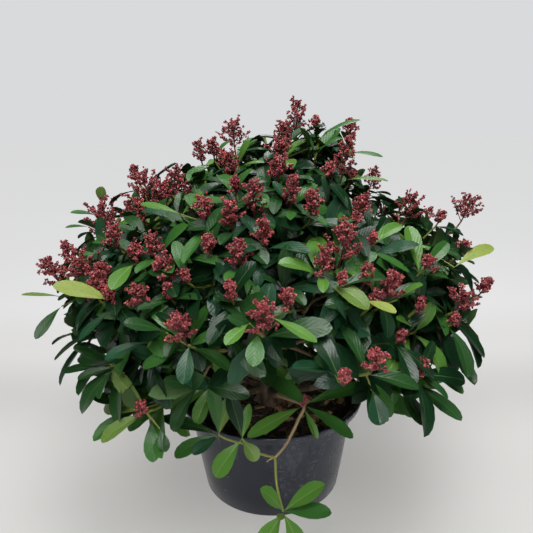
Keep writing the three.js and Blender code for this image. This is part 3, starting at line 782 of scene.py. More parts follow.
for number, (right, up, length, width) in enumerate(SHOWY):
    length, width = max(20, 1.1 * length), max(22, 1.3 * width)  # round its densest part a head is loose
    hub = seen_on_dome(right, up)
    hub = hub - unit(facing_of(hub, LIFT + (0, 0, UPRIGHT))) * SUNK * length
    mass = in_crown(hub)[0]
    near = min((s for s in shoots if not s.showy), key=lambda s: np.linalg.norm(s.hub - hub))
    crowded = distance_to(hub, [other for other in shoots if other.showy]) < CROWDED
    if np.linalg.norm(near.hub - hub) < SAME_SHOOT:
        shoot = near
    else:
        shoot = SimpleNamespace(main=False, showy=False, draw=seeded(SEED * 3 + number))
        shoots.append(shoot)
    shoot.mass, shoot.hub, shoot.length, shoot.width, shoot.heads = mass, hub, length, width, 1
    shoot.facing = facing_of(hub, LIFT)
    shoot.showy, shoot.leaves = True, 5 if crowded else WHORL
showy = [shoot for shoot in shoots if shoot.showy]
for shoot in shoots:
    in_view = shoot.hub[1] < 0.4 * (shoot.hub[2] - 300)  # where only the listed heads may show
    if not shoot.showy and (in_view or distance_to(shoot.hub, showy) < OWN_ROOM):
        shoot.heads = 0
print(len(showy), "showy shoots,", len(shoots), "in all")


SIDE = SimpleNamespace(length=48, width=42, flowering=0.4, shaded=0.05, rich_above=450, rear=60,
                       roomy_below=360, roomier=1.25)


def side_shoots(count, room, shares, seed):
    """Shoots on a finer lattice, wherever they have room between those that are there."""
    random = np.random.default_rng(seed)
    for k in range(count):
        direction = lattice_direction(k, count, random.uniform(-0.03, 0.03, 3))
        share, scatter, flowering = random.uniform(*shares), random.uniform(-0.25, 0.25, 3), random.random()
        if direction is None:
            continue
        mass, hub = hub_at(direction, share)
        if distance_to(hub, shoots) < room * (SIDE.roomier if hub[2] < SIDE.roomy_below else 1):
            continue
        hidden = hub[1] > SIDE.rear and distance_to(hub, showy) > OWN_ROOM
        heads = hidden and flowering < (SIDE.flowering if hub[2] > SIDE.rich_above else SIDE.shaded)
        shoots.append(SimpleNamespace(mass=mass, hub=hub, facing=facing_of(hub, scatter), main=False,
                                      showy=False, draw=seeded(SEED * 5 + seed + k), heads=int(heads),
                                      length=SIDE.length, width=SIDE.width, leaves=WHORL))


side_shoots(count=700, room=51, shares=(0.86, 0.98), seed=21)
side_shoots(count=480, room=57, shares=(0.70, 0.84), seed=22)
side_shoots(count=900, room=44, shares=(0.86, 0.94), seed=23)
print("With the side shoots the shrub has", len(shoots), "shoots and",
      sum(shoot.heads for shoot in shoots), "heads")

# %% [markdown]
# ## Trunk and boughs
# The trunk is short and thick, with a flare where its roots run into the mix, and it parts at once into
# boughs no thicker than a thumb. Each limb is a curve with a taper. Turned into meshes they only run through
# each other, so a remesh melts them into one skin with soft crotches, as living wood has, and two
# displacements give it the relief of bark.


# %% Bend the limbs
def limb_curve(start, middle, end, first_radius, last_radius):
    """A tapering limb along a curve through the pull of its middle point, in millimetres."""
    start, middle, end = (np.asarray(point) / 1000 for point in (start, middle, end))
    bpy.ops.curve.primitive_bezier_curve_add()
    curve = bpy.context.object
    first, last = curve.data.splines[0].bezier_points
    for point, place, radius in ((first, start, first_radius), (last, end, last_radius)):
        point.handle_left_type = point.handle_right_type = "FREE"
        point.co = place
        point.handle_left = point.handle_right = place + (middle - place) * 2 / 3
        point.radius = radius
    curve.data.bevel_depth = 0.001
    curve.data.bevel_resolution = 3
    curve.data.resolution_u = 10
    curve.data.use_fill_caps = True
    return curve


TRUNK = SimpleNamespace(foot=np.array([-3.0, 4.0, 168.3]), middle=np.array([-2.0, 3.0, 219.3]),
                        top=np.array([3.0, 0.0, 266.3]), neck=27, tip=18)


def trunk_point(share):
    """A point on the trunk's line."""
    return ((1 - share) ** 2 * TRUNK.foot + 2 * share * (1 - share) * TRUNK.middle + share ** 2 * TRUNK.top)


def bough_line(mass):
    """Where a bough starts in the trunk, the point that its curve is drawn to, and its tip."""
    share = min(0.94, max(0.2, 0.3 + mass.rise / 120))
    off = 0 if mass.rise > 80 else 0.45 * (TRUNK.neck + (TRUNK.tip - TRUNK.neck) * share)
    start = trunk_point(share) + off * direction_of(mass.azimuth, 0)
    middle = (start + mass.bough_tip) / 2
    middle[2] -= BOUGH.sag * math.cos(math.radians(mass.rise))
    return start, middle, mass.bough_tip


HANGING = SimpleNamespace(azimuth=6, rise=11, bough_tip=np.array([14.0, -140.0, 262.0]),
                          crest=np.array([51.0, -250.0, 301.0]), node=np.array([4.0, -264.0, 214.0]),
                          left=np.array([-50.0, -268.0, 252.0]), low=np.array([16.0, -280.0, 122.0]))
HANGING.stem_way = unit(HANGING.crest - HANGING.bough_tip)
bpy.ops.object.select_all(action="DESELECT")
limbs = [limb_curve(TRUNK.foot, TRUNK.middle, TRUNK.top, TRUNK.neck, TRUNK.tip)]
for mass in [*masses.values(), HANGING]:
    limbs.append(limb_curve(*bough_line(mass), BOUGH.base, BOUGH.tip))
for i in range(6):  # the root flare
    way = direction_of(20 + 60 * i + 9 * (i % 2), 0)
    limbs.append(limb_curve(TRUNK.foot + way * 14 + (0, 0, 34), TRUNK.foot + way * 20 + (0, 0, 10),
                            TRUNK.foot + way * (34 + i % 3) + (0, 0, 2), 12, 4.5))
bpy.ops.object.select_all(action="DESELECT")
for curve in limbs:
    curve.select_set(True)
bpy.context.view_layer.objects.active = limbs[0]
bpy.ops.object.convert(target="MESH")
bpy.ops.object.join()
wood = bpy.context.object
print("The limbs are", len(wood.data.polygons), "faces before they melt together")

# %% Melt them together and raise the bark
apply_modifier(wood, "REMESH", mode="VOXEL", voxel_size=0.0024, adaptivity=0)
apply_modifier(wood, "SMOOTH", factor=0.6, iterations=3)
roughen(wood, "bark_swellings", 0.03, 0.003, 0.5)
roughen(wood, "bark_ridges", 0.005, 0.0022, 0.6)
take(wood)
bpy.ops.object.shade_smooth_by_angle(angle=math.radians(50))

bark = plain_material("bark", paint(92, 78, 64), 0.9)
pattern = Pattern(bark.node_tree)
place = pattern.add("TexCoord", "Object")
patches = pattern.noise(place, 26, (1, 1, 0.5), 5, 0.65)
furrows = pattern.noise(place, 150, (1, 1, 0.3), 4, 0.7)
tone = pattern.work("ADD", pattern.work("MULTIPLY", patches, 0.6), pattern.work("MULTIPLY", furrows, 0.4))
pattern.finish({"Base Color": pattern.mix(pattern.move(tone, 0.38, 0.62), paint(42, 33, 26),
                                          paint(112, 94, 76)),
                "Normal": pattern.relief(furrows, 0.7, 0.0015)})
wood.data.materials.append(bark)
finish_piece(wood, "trunk_and_boughs", "bark", "trunk", "bough_hanging_shoot",
             *[f"bough_{name}" for name in masses])

# %% [markdown]
# ## Stems and twigs
# One stem carries on from each bough, and twigs fork from it to the shoots, first bare and brown, then green
# for the last hand's breadth. Side shoots fork from the twig of the nearest main shoot. A twig leaves its
# fork along the stem and arrives pointing the way that its shoot faces, which is what a smooth curve between
# two directions gives. The tubes have only a few sides, because there are hundreds of them.


# %% Tubes along curves
def bend(start, leaving, arriving, end, steps):
    """Points along a curve between two points, with the two that pull it."""
    t = np.linspace(0, 1, steps + 1)[:, None]
    return ((1 - t) ** 3 * start + 3 * (1 - t) ** 2 * t * leaving
            + 3 * (1 - t) * t * t * arriving + t ** 3 * end)


def tube(basket, line, radii, sides, finish=0, tip_finish=None, green_from=1.0):
    """Adds a closed round stem along a line of points, its last part in another finish."""
    rings, steps = len(line), len(line) - 1
    ways = unit(np.gradient(line, axis=0))
    angles = np.arange(sides) * 2 * math.pi / sides
    aside = axes_across(ways[0])[0]
    points = []
    for way, centre, radius in zip(ways, line, radii):
        aside = unit(aside - way * (aside @ way))
        across = np.cross(way, aside)
        points.append(centre + radius * (np.cos(angles)[:, None] * aside + np.sin(angles)[:, None] * across))
    points = np.concatenate([*points, line[:1], line[-1:]])
    j = np.arange(sides)
    after = (j + 1) % sides
    walls = [np.stack([j, after, after + sides, j + sides], 1) + sides * i for i in range(steps)]
    foot = np.stack([np.full(sides, rings * sides), after, j, j], 1)
    last = (rings - 1) * sides
    head = np.stack([np.full(sides, rings * sides + 1), j + last, after + last, after + last], 1)
    tones = [finish if tip_finish is None or i / steps < green_from else tip_finish for i in range(steps)]
    finishes = np.concatenate([np.repeat(tones, sides), np.full(sides, tones[0]), np.full(sides, tones[-1])])
    basket.add(points, np.concatenate([*walls, foot, head]), finishes)


def lined_up(line, share):
    """The point on a line of points at a share of its length, and the way that the line runs there."""
    place = share * (len(line) - 1)
    i = min(int(place), len(line) - 2)
    return line[i] + (line[i + 1] - line[i]) * (place - i), unit(line[i + 1] - line[i])


BROWN, GREEN, TAN = 0, 1, 2  # the finishes of a twig


def grow_twig(shoot, parent, share, steps, radii, sides, green_from):
    """Grows a shoot's twig from a share of its parent line: brown at first, then green."""
    shoot.fork, way = lined_up(parent, share)
    span = np.linalg.norm(shoot.hub - shoot.fork)
    shoot.line = bend(shoot.fork, shoot.fork + way * span * 0.3, shoot.hub - shoot.facing * span * 0.4,
                      shoot.hub, steps)
    tube(baskets[shoot.mass.name].twigs, shoot.line, np.linspace(*radii, steps + 1), sides, BROWN, GREEN,
         green_from)


baskets = {name: SimpleNamespace(twigs=Basket(), leaves=Basket(), blossom=Basket()) for name in masses}
for name, mass in masses.items():
    start = mass.bough_tip - 4 * mass.axis
    stem_end = mass.bough_tip + 0.55 * (mass.end - mass.bough_tip)
    middle = (start + stem_end) / 2
    sway = axes_across(mass.axis)[0] * 5
    line = bend(start, middle + sway, middle - sway, stem_end, 8)
    tube(baskets[name].twigs, line, np.linspace(5.6, 3.0, 9), 8, BROWN)
    own = [shoot for shoot in shoots if shoot.mass is mass and shoot.main]
    for i, shoot in enumerate(own):
        grow_twig(shoot, line, 0.4 + 0.55 * (i + 0.5) / len(own), 8, (3.4, 2.1), 6, 0.62)
for shoot in shoots:
    if not shoot.main:
        own = [other for other in shoots if other.main and other.mass is shoot.mass]
        near = min(own, key=lambda other: np.linalg.norm(other.hub - shoot.hub))
        grow_twig(shoot, near.line, 0.45 + 0.25 * shoot.draw(), 7, (2.6, 1.9), 5, 0.5)
print("The longest twig is", round(max(np.linalg.norm(s.hub - s.fork) for s in shoots)), "mm")

# %% [markdown]
# ## Leaves
# A skimmia leaf is a leathery blade, widest past its middle, with a short stalk and a blunt point. It is
# folded a little along a pale midrib, and arches over. One blade is drawn flat on a net of a few dozen
# faces, with the midrib as a strip of its own, and then every leaf is bent, folded, twisted and placed with
# array sums. The net has an underside too, so each leaf is a thin closed body.


# %% The net of one leaf
def leaf_net(stations, half_widths, columns):
    """A leaf's points as shares of its length and half width, which of them lie beneath, and its faces."""
    across, along, beneath = [0.0], [0.0], [0.0]
    wide = len(columns)
    for station, half in zip(stations, half_widths):
        rib = min(0.055 * (1.25 - station), 0.55 * half)
        across += [rib * np.sign(c) if 0 < abs(c) < 0.2 else c * half for c in columns] + [0.0]
        along += [station] * (wide + 1)
        beneath += [0.0] * wide + [1.0]
    across.append(0.0), along.append(1.0), beneath.append(0.0)
    tip = len(across) - 1
    row = [1 + i * (wide + 1) for i in range(len(stations))]
    faces, parts = [], []  # part 0 is the blade, 1 the midrib and 2 the underside

    def face(part, *corners):
        faces.append([*corners, corners[-1]][:4])
        parts.append(part)

    for c in range(wide - 1):
        part = 1 if abs(columns[c] + columns[c + 1]) < 0.01 and wide > 3 else 0
        face(part, 0, row[0] + c + 1, row[0] + c)
        for lower, upper in zip(row, row[1:]):
            face(part, lower + c, lower + c + 1, upper + c + 1, upper + c)
        face(part, row[-1] + c, row[-1] + c + 1, tip)
    keel = wide  # the underside's middle comes after the columns of a row
    face(2, 0, row[0], row[0] + keel)
    face(2, 0, row[0] + keel, row[0] + wide - 1)
    for lower, upper in zip(row, row[1:]):
        face(2, lower, upper, upper + keel, lower + keel)
        face(2, lower + keel, upper + keel, upper + wide - 1, lower + wide - 1)
    face(2, row[-1], tip, row[-1] + keel)
    face(2, row[-1] + keel, tip, row[-1] + wide - 1)
    return SimpleNamespace(across=np.array(across), along=np.array(along), beneath=np.array(beneath),
                           faces=np.array(faces), parts=np.array(parts))


FULL_LEAF = leaf_net((0.09, 0.23, 0.40, 0.57, 0.73, 0.87, 0.96), (0.08, 0.35, 0.72, 0.96, 1.0, 0.77, 0.42),
                     (-1, -0.5, -0.1, 0.1, 0.5, 1))
INNER_LEAF = leaf_net((0.10, 0.35, 0.62, 0.88), (0.11, 0.70, 1.0, 0.55), (-1, 0, 1))
print("A full leaf has", len(FULL_LEAF.faces), "faces, an inner one", len(INNER_LEAF.faces))


def add_leaves(basket, net, leaves):
    """Adds leaves. Each is an origin, a way, a way to the light, length, width, bend, fold, twist, tones."""
    if not leaves:
        return
    origin, chord, light = (np.array([leaf[i] for leaf in leaves]) for i in range(3))
    length, width, curl, fold, twist = (np.array([leaf[i] for leaf in leaves])[:, None] for i in range(3, 8))
    chord = unit(chord)
    up = unit(light - chord * np.sum(light * chord, 1, keepdims=True))
    side = np.cross(chord, up)
    half = curl[:, 0, None] / 2
    along = chord * np.cos(half) + up * np.sin(half)
    over = up * np.cos(half) - chord * np.sin(half)
    t, u = net.along[None], net.across[None]
    angle = curl * t
    run, drop = np.sin(angle) / curl, (1 - np.cos(angle)) / curl
    turn = twist * (t - 0.3)
    height = (fold * np.abs(u) * (1 - 0.35 * u * u) * width / 2
              + 0.02 * width * np.sin(9 * t + 40 * fold) * u * u - net.beneath[None] * (0.5 + 0.012 * width))
    flat = u * width / 2
    x = flat * np.cos(turn) - height * np.sin(turn)
    z = flat * np.sin(turn) + height * np.cos(turn)
    y_axis = length * run + z * np.sin(angle)
    z_axis = -length * drop + z * np.cos(angle)
    points = (origin[:, None] + x[..., None] * side[:, None] + y_axis[..., None] * along[:, None]
              + z_axis[..., None] * over[:, None])
    count, size = points.shape[:2]
    faces = net.faces[None] + size * np.arange(count)[:, None, None]
    finishes = np.array([leaf[8] for leaf in leaves])[:, net.parts]
    spots = np.stack([np.broadcast_to(0.5 + u / 2, (count, size)), np.broadcast_to(t, (count, size))], -1)
    basket.add(points.reshape(-1, 3), faces.reshape(-1, 4), finishes.ravel(), spots.reshape(-1, 2))


# %% [markdown]
# The greens are dealt out shoot by shoot. Leaves that the sun has been on for two years are deep and a
# little blue, this year's are fresher, and a few turn yellow. Which greens are likeliest also goes by height:
# the middle of the crown is dealt darker ones as painted shade, and the lowest shoots lighter ones as painted
# light. Each green is a plain colour. The skin's relief is one effect group for all of them: faint veins that
# run from the midrib to the edge, which follow the leaf's own spots, and a slight quilting that follows the
# place.

# %% The leaf skin effect and the greens
skin_group, inside, outside = effect_group("leaf_skin", {"Vector": None, "Spots": None, "Veins": 0.5},
                                           ["Height"])
pattern = Pattern(skin_group)
VEINS = 52  # how close the veins are: radians of their wave for each length of the leaf
aside = pattern.add("SeparateXYZ", "X", {"Vector": inside.outputs["Spots"]})
along = pattern.add("SeparateXYZ", "Y", {"Vector": inside.outputs["Spots"]})
from_rib = pattern.work("ABSOLUTE", pattern.work("SUBTRACT", aside, 0.5))
slanted = pattern.work("SUBTRACT", along, pattern.work("MULTIPLY", from_rib, 0.7))
veins = pattern.work("SINE", pattern.work("MULTIPLY", slanted, VEINS))
raised = pattern.work("MULTIPLY", veins, pattern.work("MULTIPLY", inside.outputs["Veins"], 0.25))
quilting = pattern.noise(inside.outputs["Vector"], 110, (1, 1, 1), 2)
pattern.feed(outside, {"Height": pattern.work("ADD", quilting, raised)})


def leaf_material(name, colour, roughness, veins=0.5):
    """A green with the relief of a leaf's skin."""
    material = plain_material(name, colour, roughness, 0.27)
    pattern = Pattern(material.node_tree)
    skin = pattern.nodes.new("ShaderNodeGroup")
    skin.node_tree = skin_group
    pattern.feed(skin, {"Vector": pattern.add("TexCoord", "Object"), "Spots": pattern.add("TexCoord", "UV"),
                        "Veins": veins})
    pattern.finish({"Normal": pattern.relief(skin.outputs["Height"], 0.40, 0.0013)})
    return material


LEAF_FINISHES = [  # name, colour, roughness and veins: seven greens, two midribs and the underside
    ("leaf_old_and_shaded", (12, 40, 19), 0.31, 0.5), ("leaf_deep", (28, 60, 26), 0.30, 0.5),
    ("leaf_blue", (28, 62, 40), 0.30, 0.5), ("leaf_middle", (46, 88, 35), 0.31, 0.5),
    ("leaf_fresh", (68, 108, 40), 0.33, 0.5), ("leaf_light", (82, 106, 44), 0.40, 0.5),
    ("leaf_yellow", (118, 132, 58), 0.42, 0.5), ("midrib_green", (56, 82, 42), 0.4, 0),
    ("midrib_pale", (104, 126, 68), 0.4, 0), ("leaf_underside", (60, 86, 44), 0.6, 0.4),
]
OLD_AND_SHADED, DEEP, BLUE, MIDDLE, FRESH, LIGHT, YELLOW, RIB_GREEN, RIB_PALE, UNDERSIDE = range(len(LEAF_FINISHES))
leaf_materials = [leaf_material(name, paint(*colour), roughness, veins)
                  for name, colour, roughness, veins in LEAF_FINISHES]


def tones_of(green):
    """The finishes of a leaf's blade, midrib and underside for a green."""
    return green, (RIB_PALE if green >= FRESH else RIB_GREEN), UNDERSIDE


print("There are", len(leaf_materials), "leaf materials")


# %% Grow the leaves
LEAF = SimpleNamespace(longest=96, shortest=74, low=300, high=600,  # between these heights they get shorter
                       tilts=(34, 56), showy_tilts=(48, 46),  # degrees of the first, and more to the last
                       breadths=(0.28, 0.36), sinks_below=480, sinks_over=240)
# The middle band's chances lean to dark greens, as painted shade under the upper crown. The lowest band's
# chances lean to light greens, as painted light on the skirt.
SPRAYS_WITH_PAINTED_LIGHT_AND_SHADE = [  # a height, and the chance of each green for a whorl above it
    (530, (0.10, 0.31, 0.20, 0.27, 0.10, 0.02, 0)),
    (350, (0.34, 0.40, 0.13, 0.10, 0.03, 0, 0)),
    (-math.inf, (0.05, 0.18, 0.12, 0.38, 0.22, 0.05, 0)),
]


def leaf_length(height):
    """The length of a leaf at a height: longer low down."""
    share = min(1, max(0, (height - LEAF.low) / (LEAF.high - LEAF.low)))
    return LEAF.longest - (LEAF.longest - LEAF.shortest) * share


def whorl(shoot, count, random):
    """The leaves round a shoot's tip. They spiral down it, the later ones more level."""
    sinking = min(1, max(0, (LEAF.sinks_below - shoot.hub[2]) / LEAF.sinks_over))
    chances = next(chances for height, chances in SPRAYS_WITH_PAINTED_LIGHT_AND_SHADE if shoot.hub[2] > height)
    spray = random.choice(len(chances), p=chances)
    first, spread = LEAF.showy_tilts if shoot.showy else LEAF.tilts
    leaves = []
    phase = random.uniform(0, 2 * math.pi)
    for j in range(count):
        around = phase + j * GOLDEN_ANGLE + random.uniform(-0.2, 0.2)
        tilt = math.radians(first + spread * j / count + random.uniform(-8, 8))
        way = unit(shoot.facing * math.cos(tilt) + spoke(shoot.facing, around) * math.sin(tilt)
                   + (0, 0, -0.10 - 0.16 * sinking))
        light = unit(shoot.facing + (0, 0, 0.55) + random.uniform(-0.25, 0.25, 3))
        length = leaf_length(shoot.hub[2]) * random.uniform(0.82, 1.16) * (1 - 0.22 * (j < 2))
        width = length * random.uniform(*LEAF.breadths) * (1 - 0.08 * sinking)
        green = spray if random.random() < 0.7 else min(YELLOW, max(OLD_AND_SHADED, spray + random.integers(-1, 2)))
        leaves.append((shoot.hub - shoot.facing * (1.2 + 2.0 * j), way, light, length, width,
                       random.uniform(0.35, 1.15), random.uniform(0.12, 0.6), random.uniform(-0.5, 0.5),
                       tones_of(green)))
    return leaves


def older_leaves(shoot, count, random):
    """Last year's leaves, further down the twig, level or hanging, in the darkest greens: partly their age
    and partly painted shade inside the crown.
    """
    leaves = []
    for j in range(count):
        place, way = lined_up(shoot.line, 1 - (0.16 + 0.5 * (j + random.random()) / count))
        radial = spoke(way, random.uniform(0, 2 * math.pi))
        out = unit(radial + way * random.uniform(-0.1, 0.5) + (0, 0, -0.25))
        light = unit(way + (0, 0, 0.6) + random.uniform(-0.3, 0.3, 3))
        length = leaf_length(shoot.hub[2]) * random.uniform(0.75, 1.05)
        # The darkest green is dealt here mostly as painted shade for the inside of the crown, besides the
        # leaves' age.
        leaves.append((place, out, light, length, length * 0.4, random.uniform(0.3, 1.1),
                       random.uniform(0.05, 0.4), random.uniform(-0.5, 0.5),
                       tones_of(random.choice([OLD_AND_SHADED, OLD_AND_SHADED, OLD_AND_SHADED, DEEP, BLUE]))))
    return leaves


HEM = ((-180, 215), (-95, 215), (-60, 195), (-40, 165), (-27, 185), (27, 262), (60, 250), (95, 240),
       (130, 220), (180, 215))  # azimuth and the height that no leaf hangs below
OPEN_FRONT = SimpleNamespace(left=-23, right=25,  # azimuths between which the mix in the pot can be seen
                             height=183, climb=0.534)  # of the hem there: at the axis, and outwards


def above_hem(leaf):
    """Whether a leaf stays above the crown's lower edge, which climbs outwards at the front."""
    for x, y, z in (leaf[0], leaf[0] + leaf[1] * leaf[3], leaf[0] + leaf[1] * leaf[3] * 0.5):
        azimuth = math.degrees(math.atan2(x, -y))
        hem = np.interp(azimuth, *zip(*HEM))
        if OPEN_FRONT.left < azimuth < OPEN_FRONT.right:
            hem = OPEN_FRONT.height + OPEN_FRONT.climb * math.hypot(x, y)
        if z < hem:
            return False
    return True


def beyond_dome(place):
    """How many millimetres a place stands out of the dome of whorls."""
    _, reach, out = in_crown(place)
    return out - reach


PROUD = SimpleNamespace(skirt=10, front=200, shoulder=40, top=26)  # millimetres that a tip may stand out
SHOULDER, TOP, SIDEWAYS = 400, 600, 60  # two heights, and degrees from the front


def within_dome(leaf):
    """Whether a leaf's tip stands out of the dome no more than a leaf there does."""
    tip = leaf[0] + leaf[1] * leaf[3]
    sideways = abs(math.atan2(tip[0], -tip[1])) > math.radians(SIDEWAYS)
    if tip[2] > SHOULDER:
        return beyond_dome(tip) < (PROUD.shoulder if sideways and tip[2] < TOP else PROUD.top)
    return beyond_dome(tip) < (PROUD.skirt if sideways else PROUD.front)


head_shoots = [shoot for shoot in shoots if shoot.heads]
head_sizes = np.array([max(shoot.length, shoot.width) for shoot in head_shoots])
head_middles = np.array([shoot.hub + unit(shoot.facing + (0, 0, UPRIGHT)) * shoot.length * 0.6
                         for shoot in head_shoots])
head_outward = unit(np.array([shoot.facing for shoot in head_shoots]) * (1, 1, 0.5))


VIEW = SimpleNamespace(rear=30, back=-0.3, out=60, width=0.40, margin=4)  # the space before a head


def clear_of_heads(leaf, own_height):
    """Whether a leaf leaves the view of every head open from outside."""
    for share in (0.55, 1.0):
        place = leaf[0] + leaf[1] * leaf[3] * share
        if place[2] < own_height or place[1] > VIEW.rear:
            continue
        away = place - head_middles
        outward = np.sum(away * head_outward, 1)
        aside = np.linalg.norm(away - outward[:, None] * head_outward, axis=1)
        before = (outward > VIEW.back * head_sizes) & (outward < VIEW.out)
        if np.any(before & (aside < VIEW.width * head_sizes + VIEW.margin)):
            return False
    return True


SHOWY_LEAVES = [  # a foot and a tip in millimetres, a width, and a green as its number in LEAF_FINISHES
    ((-330, 30, 595), (-325, 25, 630), 24, 5), ((-335, 5, 575), (-380, -15, 585), 15, 3),
    ((-350, -5, 555), (-385, -35, 560), 12, 3), ((-230, -285, 495), (-310, -315, 530), 32, 6),
    ((-350, -180, 470), (-395, -230, 490), 12, 5), ((-350, -185, 455), (-375, -245, 420), 20, 1),
    ((-205, -260, 545), (-225, -325, 525), 25, 4), ((-50, -130, 680), (-30, -140, 720), 22, 4),
    ((-135, -230, 615), (-200, -215, 630), 16, 4), ((-135, -230, 612), (-100, -230, 650), 14, 4),
    ((-135, -230, 612), (-105, -240, 592), 15, 3), ((90, -70, 720), (160, -85, 750), 14, 3),
    ((130, -115, 695), (190, -135, 690), 13, 3), ((145, -15, 640), (220, -45, 640), 16, 4),
    ((65, -125, 705), (50, -155, 740), 23, 4), ((295, -210, 520), (370, -175, 545), 24, 6),
    ((130, -340, 510), (165, -375, 503), 20, 6),
    ((185, -295, 495), (215, -320, 525), 22, 4), ((142, -325, 515), (135, -325, 560), 14, 5),
    ((225, -260, 345), (270, -360, 333), 28, 1), ((260, -230, 355), (296, -290, 338), 23, 3),
    ((200, -275, 348), (222, -342, 315), 25, 1), ((145, -335, 370), (152, -365, 330), 31, 2),
    ((88, -375, 420), (25, -415, 445), 27, 2), ((-18, -380, 480), (-25, -420, 450), 25, 3),
    ((-30, -375, 492), (-60, -415, 478), 19, 4), ((0, -375, 500), (57, -415, 480), 19, 4),
    ((-115, -350, 452), (-120, -388, 410), 24, 2), ((-152, -322, 460), (-205, -348, 485), 24, 1),
    ((-175, -320, 445), (-240, -335, 425), 20, 2), ((-255, -275, 385), (-335, -260, 370), 20, 1),
    ((-260, -250, 365), (-295, -288, 340), 18, 1), ((-230, -260, 312), (-283, -278, 334), 22, 1),
    ((-213, -270, 308), (-275, -320, 283), 27, 3), ((-190, -292, 303), (-181, -335, 255), 26, 3),
    ((-172, -314, 300), (-160, -338, 275), 18, 1), ((-257, -278, 395), (-290, -304, 430), 22, 1),
    ((-240, -284, 480), (-282, -312, 445), 18, 2), ((-30, -225, 350), (45, -330, 350), 28, 3),
    ((-50, -225, 375), (-90, -320, 370), 27, 2), ((-80, -240, 395), (-115, -330, 400), 27, 3),
    ((-10, -230, 390), (-5, -300, 360), 28, 1), ((45, -240, 390), (105, -330, 405), 28, 3),
]
SHOWY_LEAF_DRAWS, LEAF_DRAWS, HEAD_DRAWS = 6000, 7000, 9000  # where the seeds of each kind begin
for number, (foot, tip, width, green) in enumerate(SHOWY_LEAVES):
    foot, random = np.array(foot, float), np.random.default_rng(SHOWY_LEAF_DRAWS + number)
    shoot = min(shoots, key=lambda shoot: np.linalg.norm(shoot.hub - foot))
    basket = baskets[shoot.mass.name]
    tube(basket.twigs, bend(shoot.hub, (2 * shoot.hub + foot) / 3, (shoot.hub + 2 * foot) / 3, foot, 3),
         np.linspace(1.7, 1.1, 4), 5, GREEN)
    way = np.array(tip) - foot
    add_leaves(basket.leaves, FULL_LEAF, [
        (foot, way, (0.05, -0.45, 1.0), float(np.linalg.norm(way)), width, random.uniform(0.2, 0.7),
         random.uniform(0.1, 0.35), random.uniform(-0.4, 0.4), tones_of(green))])
print(len(SHOWY_LEAVES), "leaves are set by hand")

leaf_count = 0
for number, shoot in enumerate(shoots):
    random = np.random.default_rng(LEAF_DRAWS + number)
    basket = baskets[shoot.mass.name].leaves
    for net, leaves in ((FULL_LEAF, whorl(shoot, shoot.leaves, random)),
                        (INNER_LEAF, older_leaves(shoot, 4 if shoot.hub[2] > 400 else 2, random))):
        leaves = [leaf for leaf in leaves
                  if above_hem(leaf) and within_dome(leaf)
                  and clear_of_heads(leaf, shoot.hub[2] + 4 if shoot.heads else 0)]
        add_leaves(basket, net, leaves)
        leaf_count += len(leaves)
print("The shrub has", leaf_count, "leaves")

# %% [markdown]
# ## Flower heads
# Each head is a cone of branches on a wine-red stalk, with knots of round buds close along every branch. A
# head could be one lumpy shape, but its outline shows single buds. One bud is a closed drop of a dozen faces,
# drawn out to a point below. The five buds of a knot share that point and turn outwards from it. Each is
# dealt one of four reds at random. Besides the buds' own spread, the rose is in part a painted highlight and
# the wine in part painted shade.


# %% One bud and one head
HEAD = SimpleNamespace(stalk=(1.7, 0.7), branch=(1.0, 0.8, 0.5),  # radii from foot to tip
                       per_knot=5, bud=(1.15, 1.7), reds=(0.26, 0.38, 0.26, 0.10))


def bud_net(sides=3):
    """A drop with its point at the bottom, one unit in radius."""
    angles = np.arange(sides) * 2 * math.pi / sides
    lower = np.stack([np.cos(angles), np.sin(angles), np.full(sides, -0.5)], 1)
    upper = np.stack([0.95 * np.cos(angles + math.pi / sides), 0.95 * np.sin(angles + math.pi / sides),
                      np.full(sides, 0.5)], 1)
    points = np.concatenate([[[0, 0, -2.2]], lower, upper, [[0, 0, 1.2]]])
    faces = []
    for j in range(sides):
        after = (j + 1) % sides
        a, b, c, d = 1 + j, 1 + after, 1 + sides + j, 1 + sides + after
        faces += [[0, b, a, a], [a, b, c, c], [b, d, c, c], [c, d, 2 * sides + 1, 2 * sides + 1]]
    return points, np.array(faces)


BUD_POINTS, BUD_FACES = bud_net()
STALK = 4  # the finish after the four reds


def add_buds(basket, middles, ways, radii, tones):
    """Adds many buds at once."""
    aside, across = axes_across(ways)
    shape = BUD_POINTS[None] * radii[:, None, None]
    points = (middles[:, None] + shape[..., :1] * aside[:, None] + shape[..., 1:2] * across[:, None]
              + shape[..., 2:] * ways[:, None])
    faces = BUD_FACES[None] + len(BUD_POINTS) * np.arange(len(middles))[:, None, None]
    basket.add(points.reshape(-1, 3), faces.reshape(-1, 4), np.repeat(tones, len(BUD_FACES)))


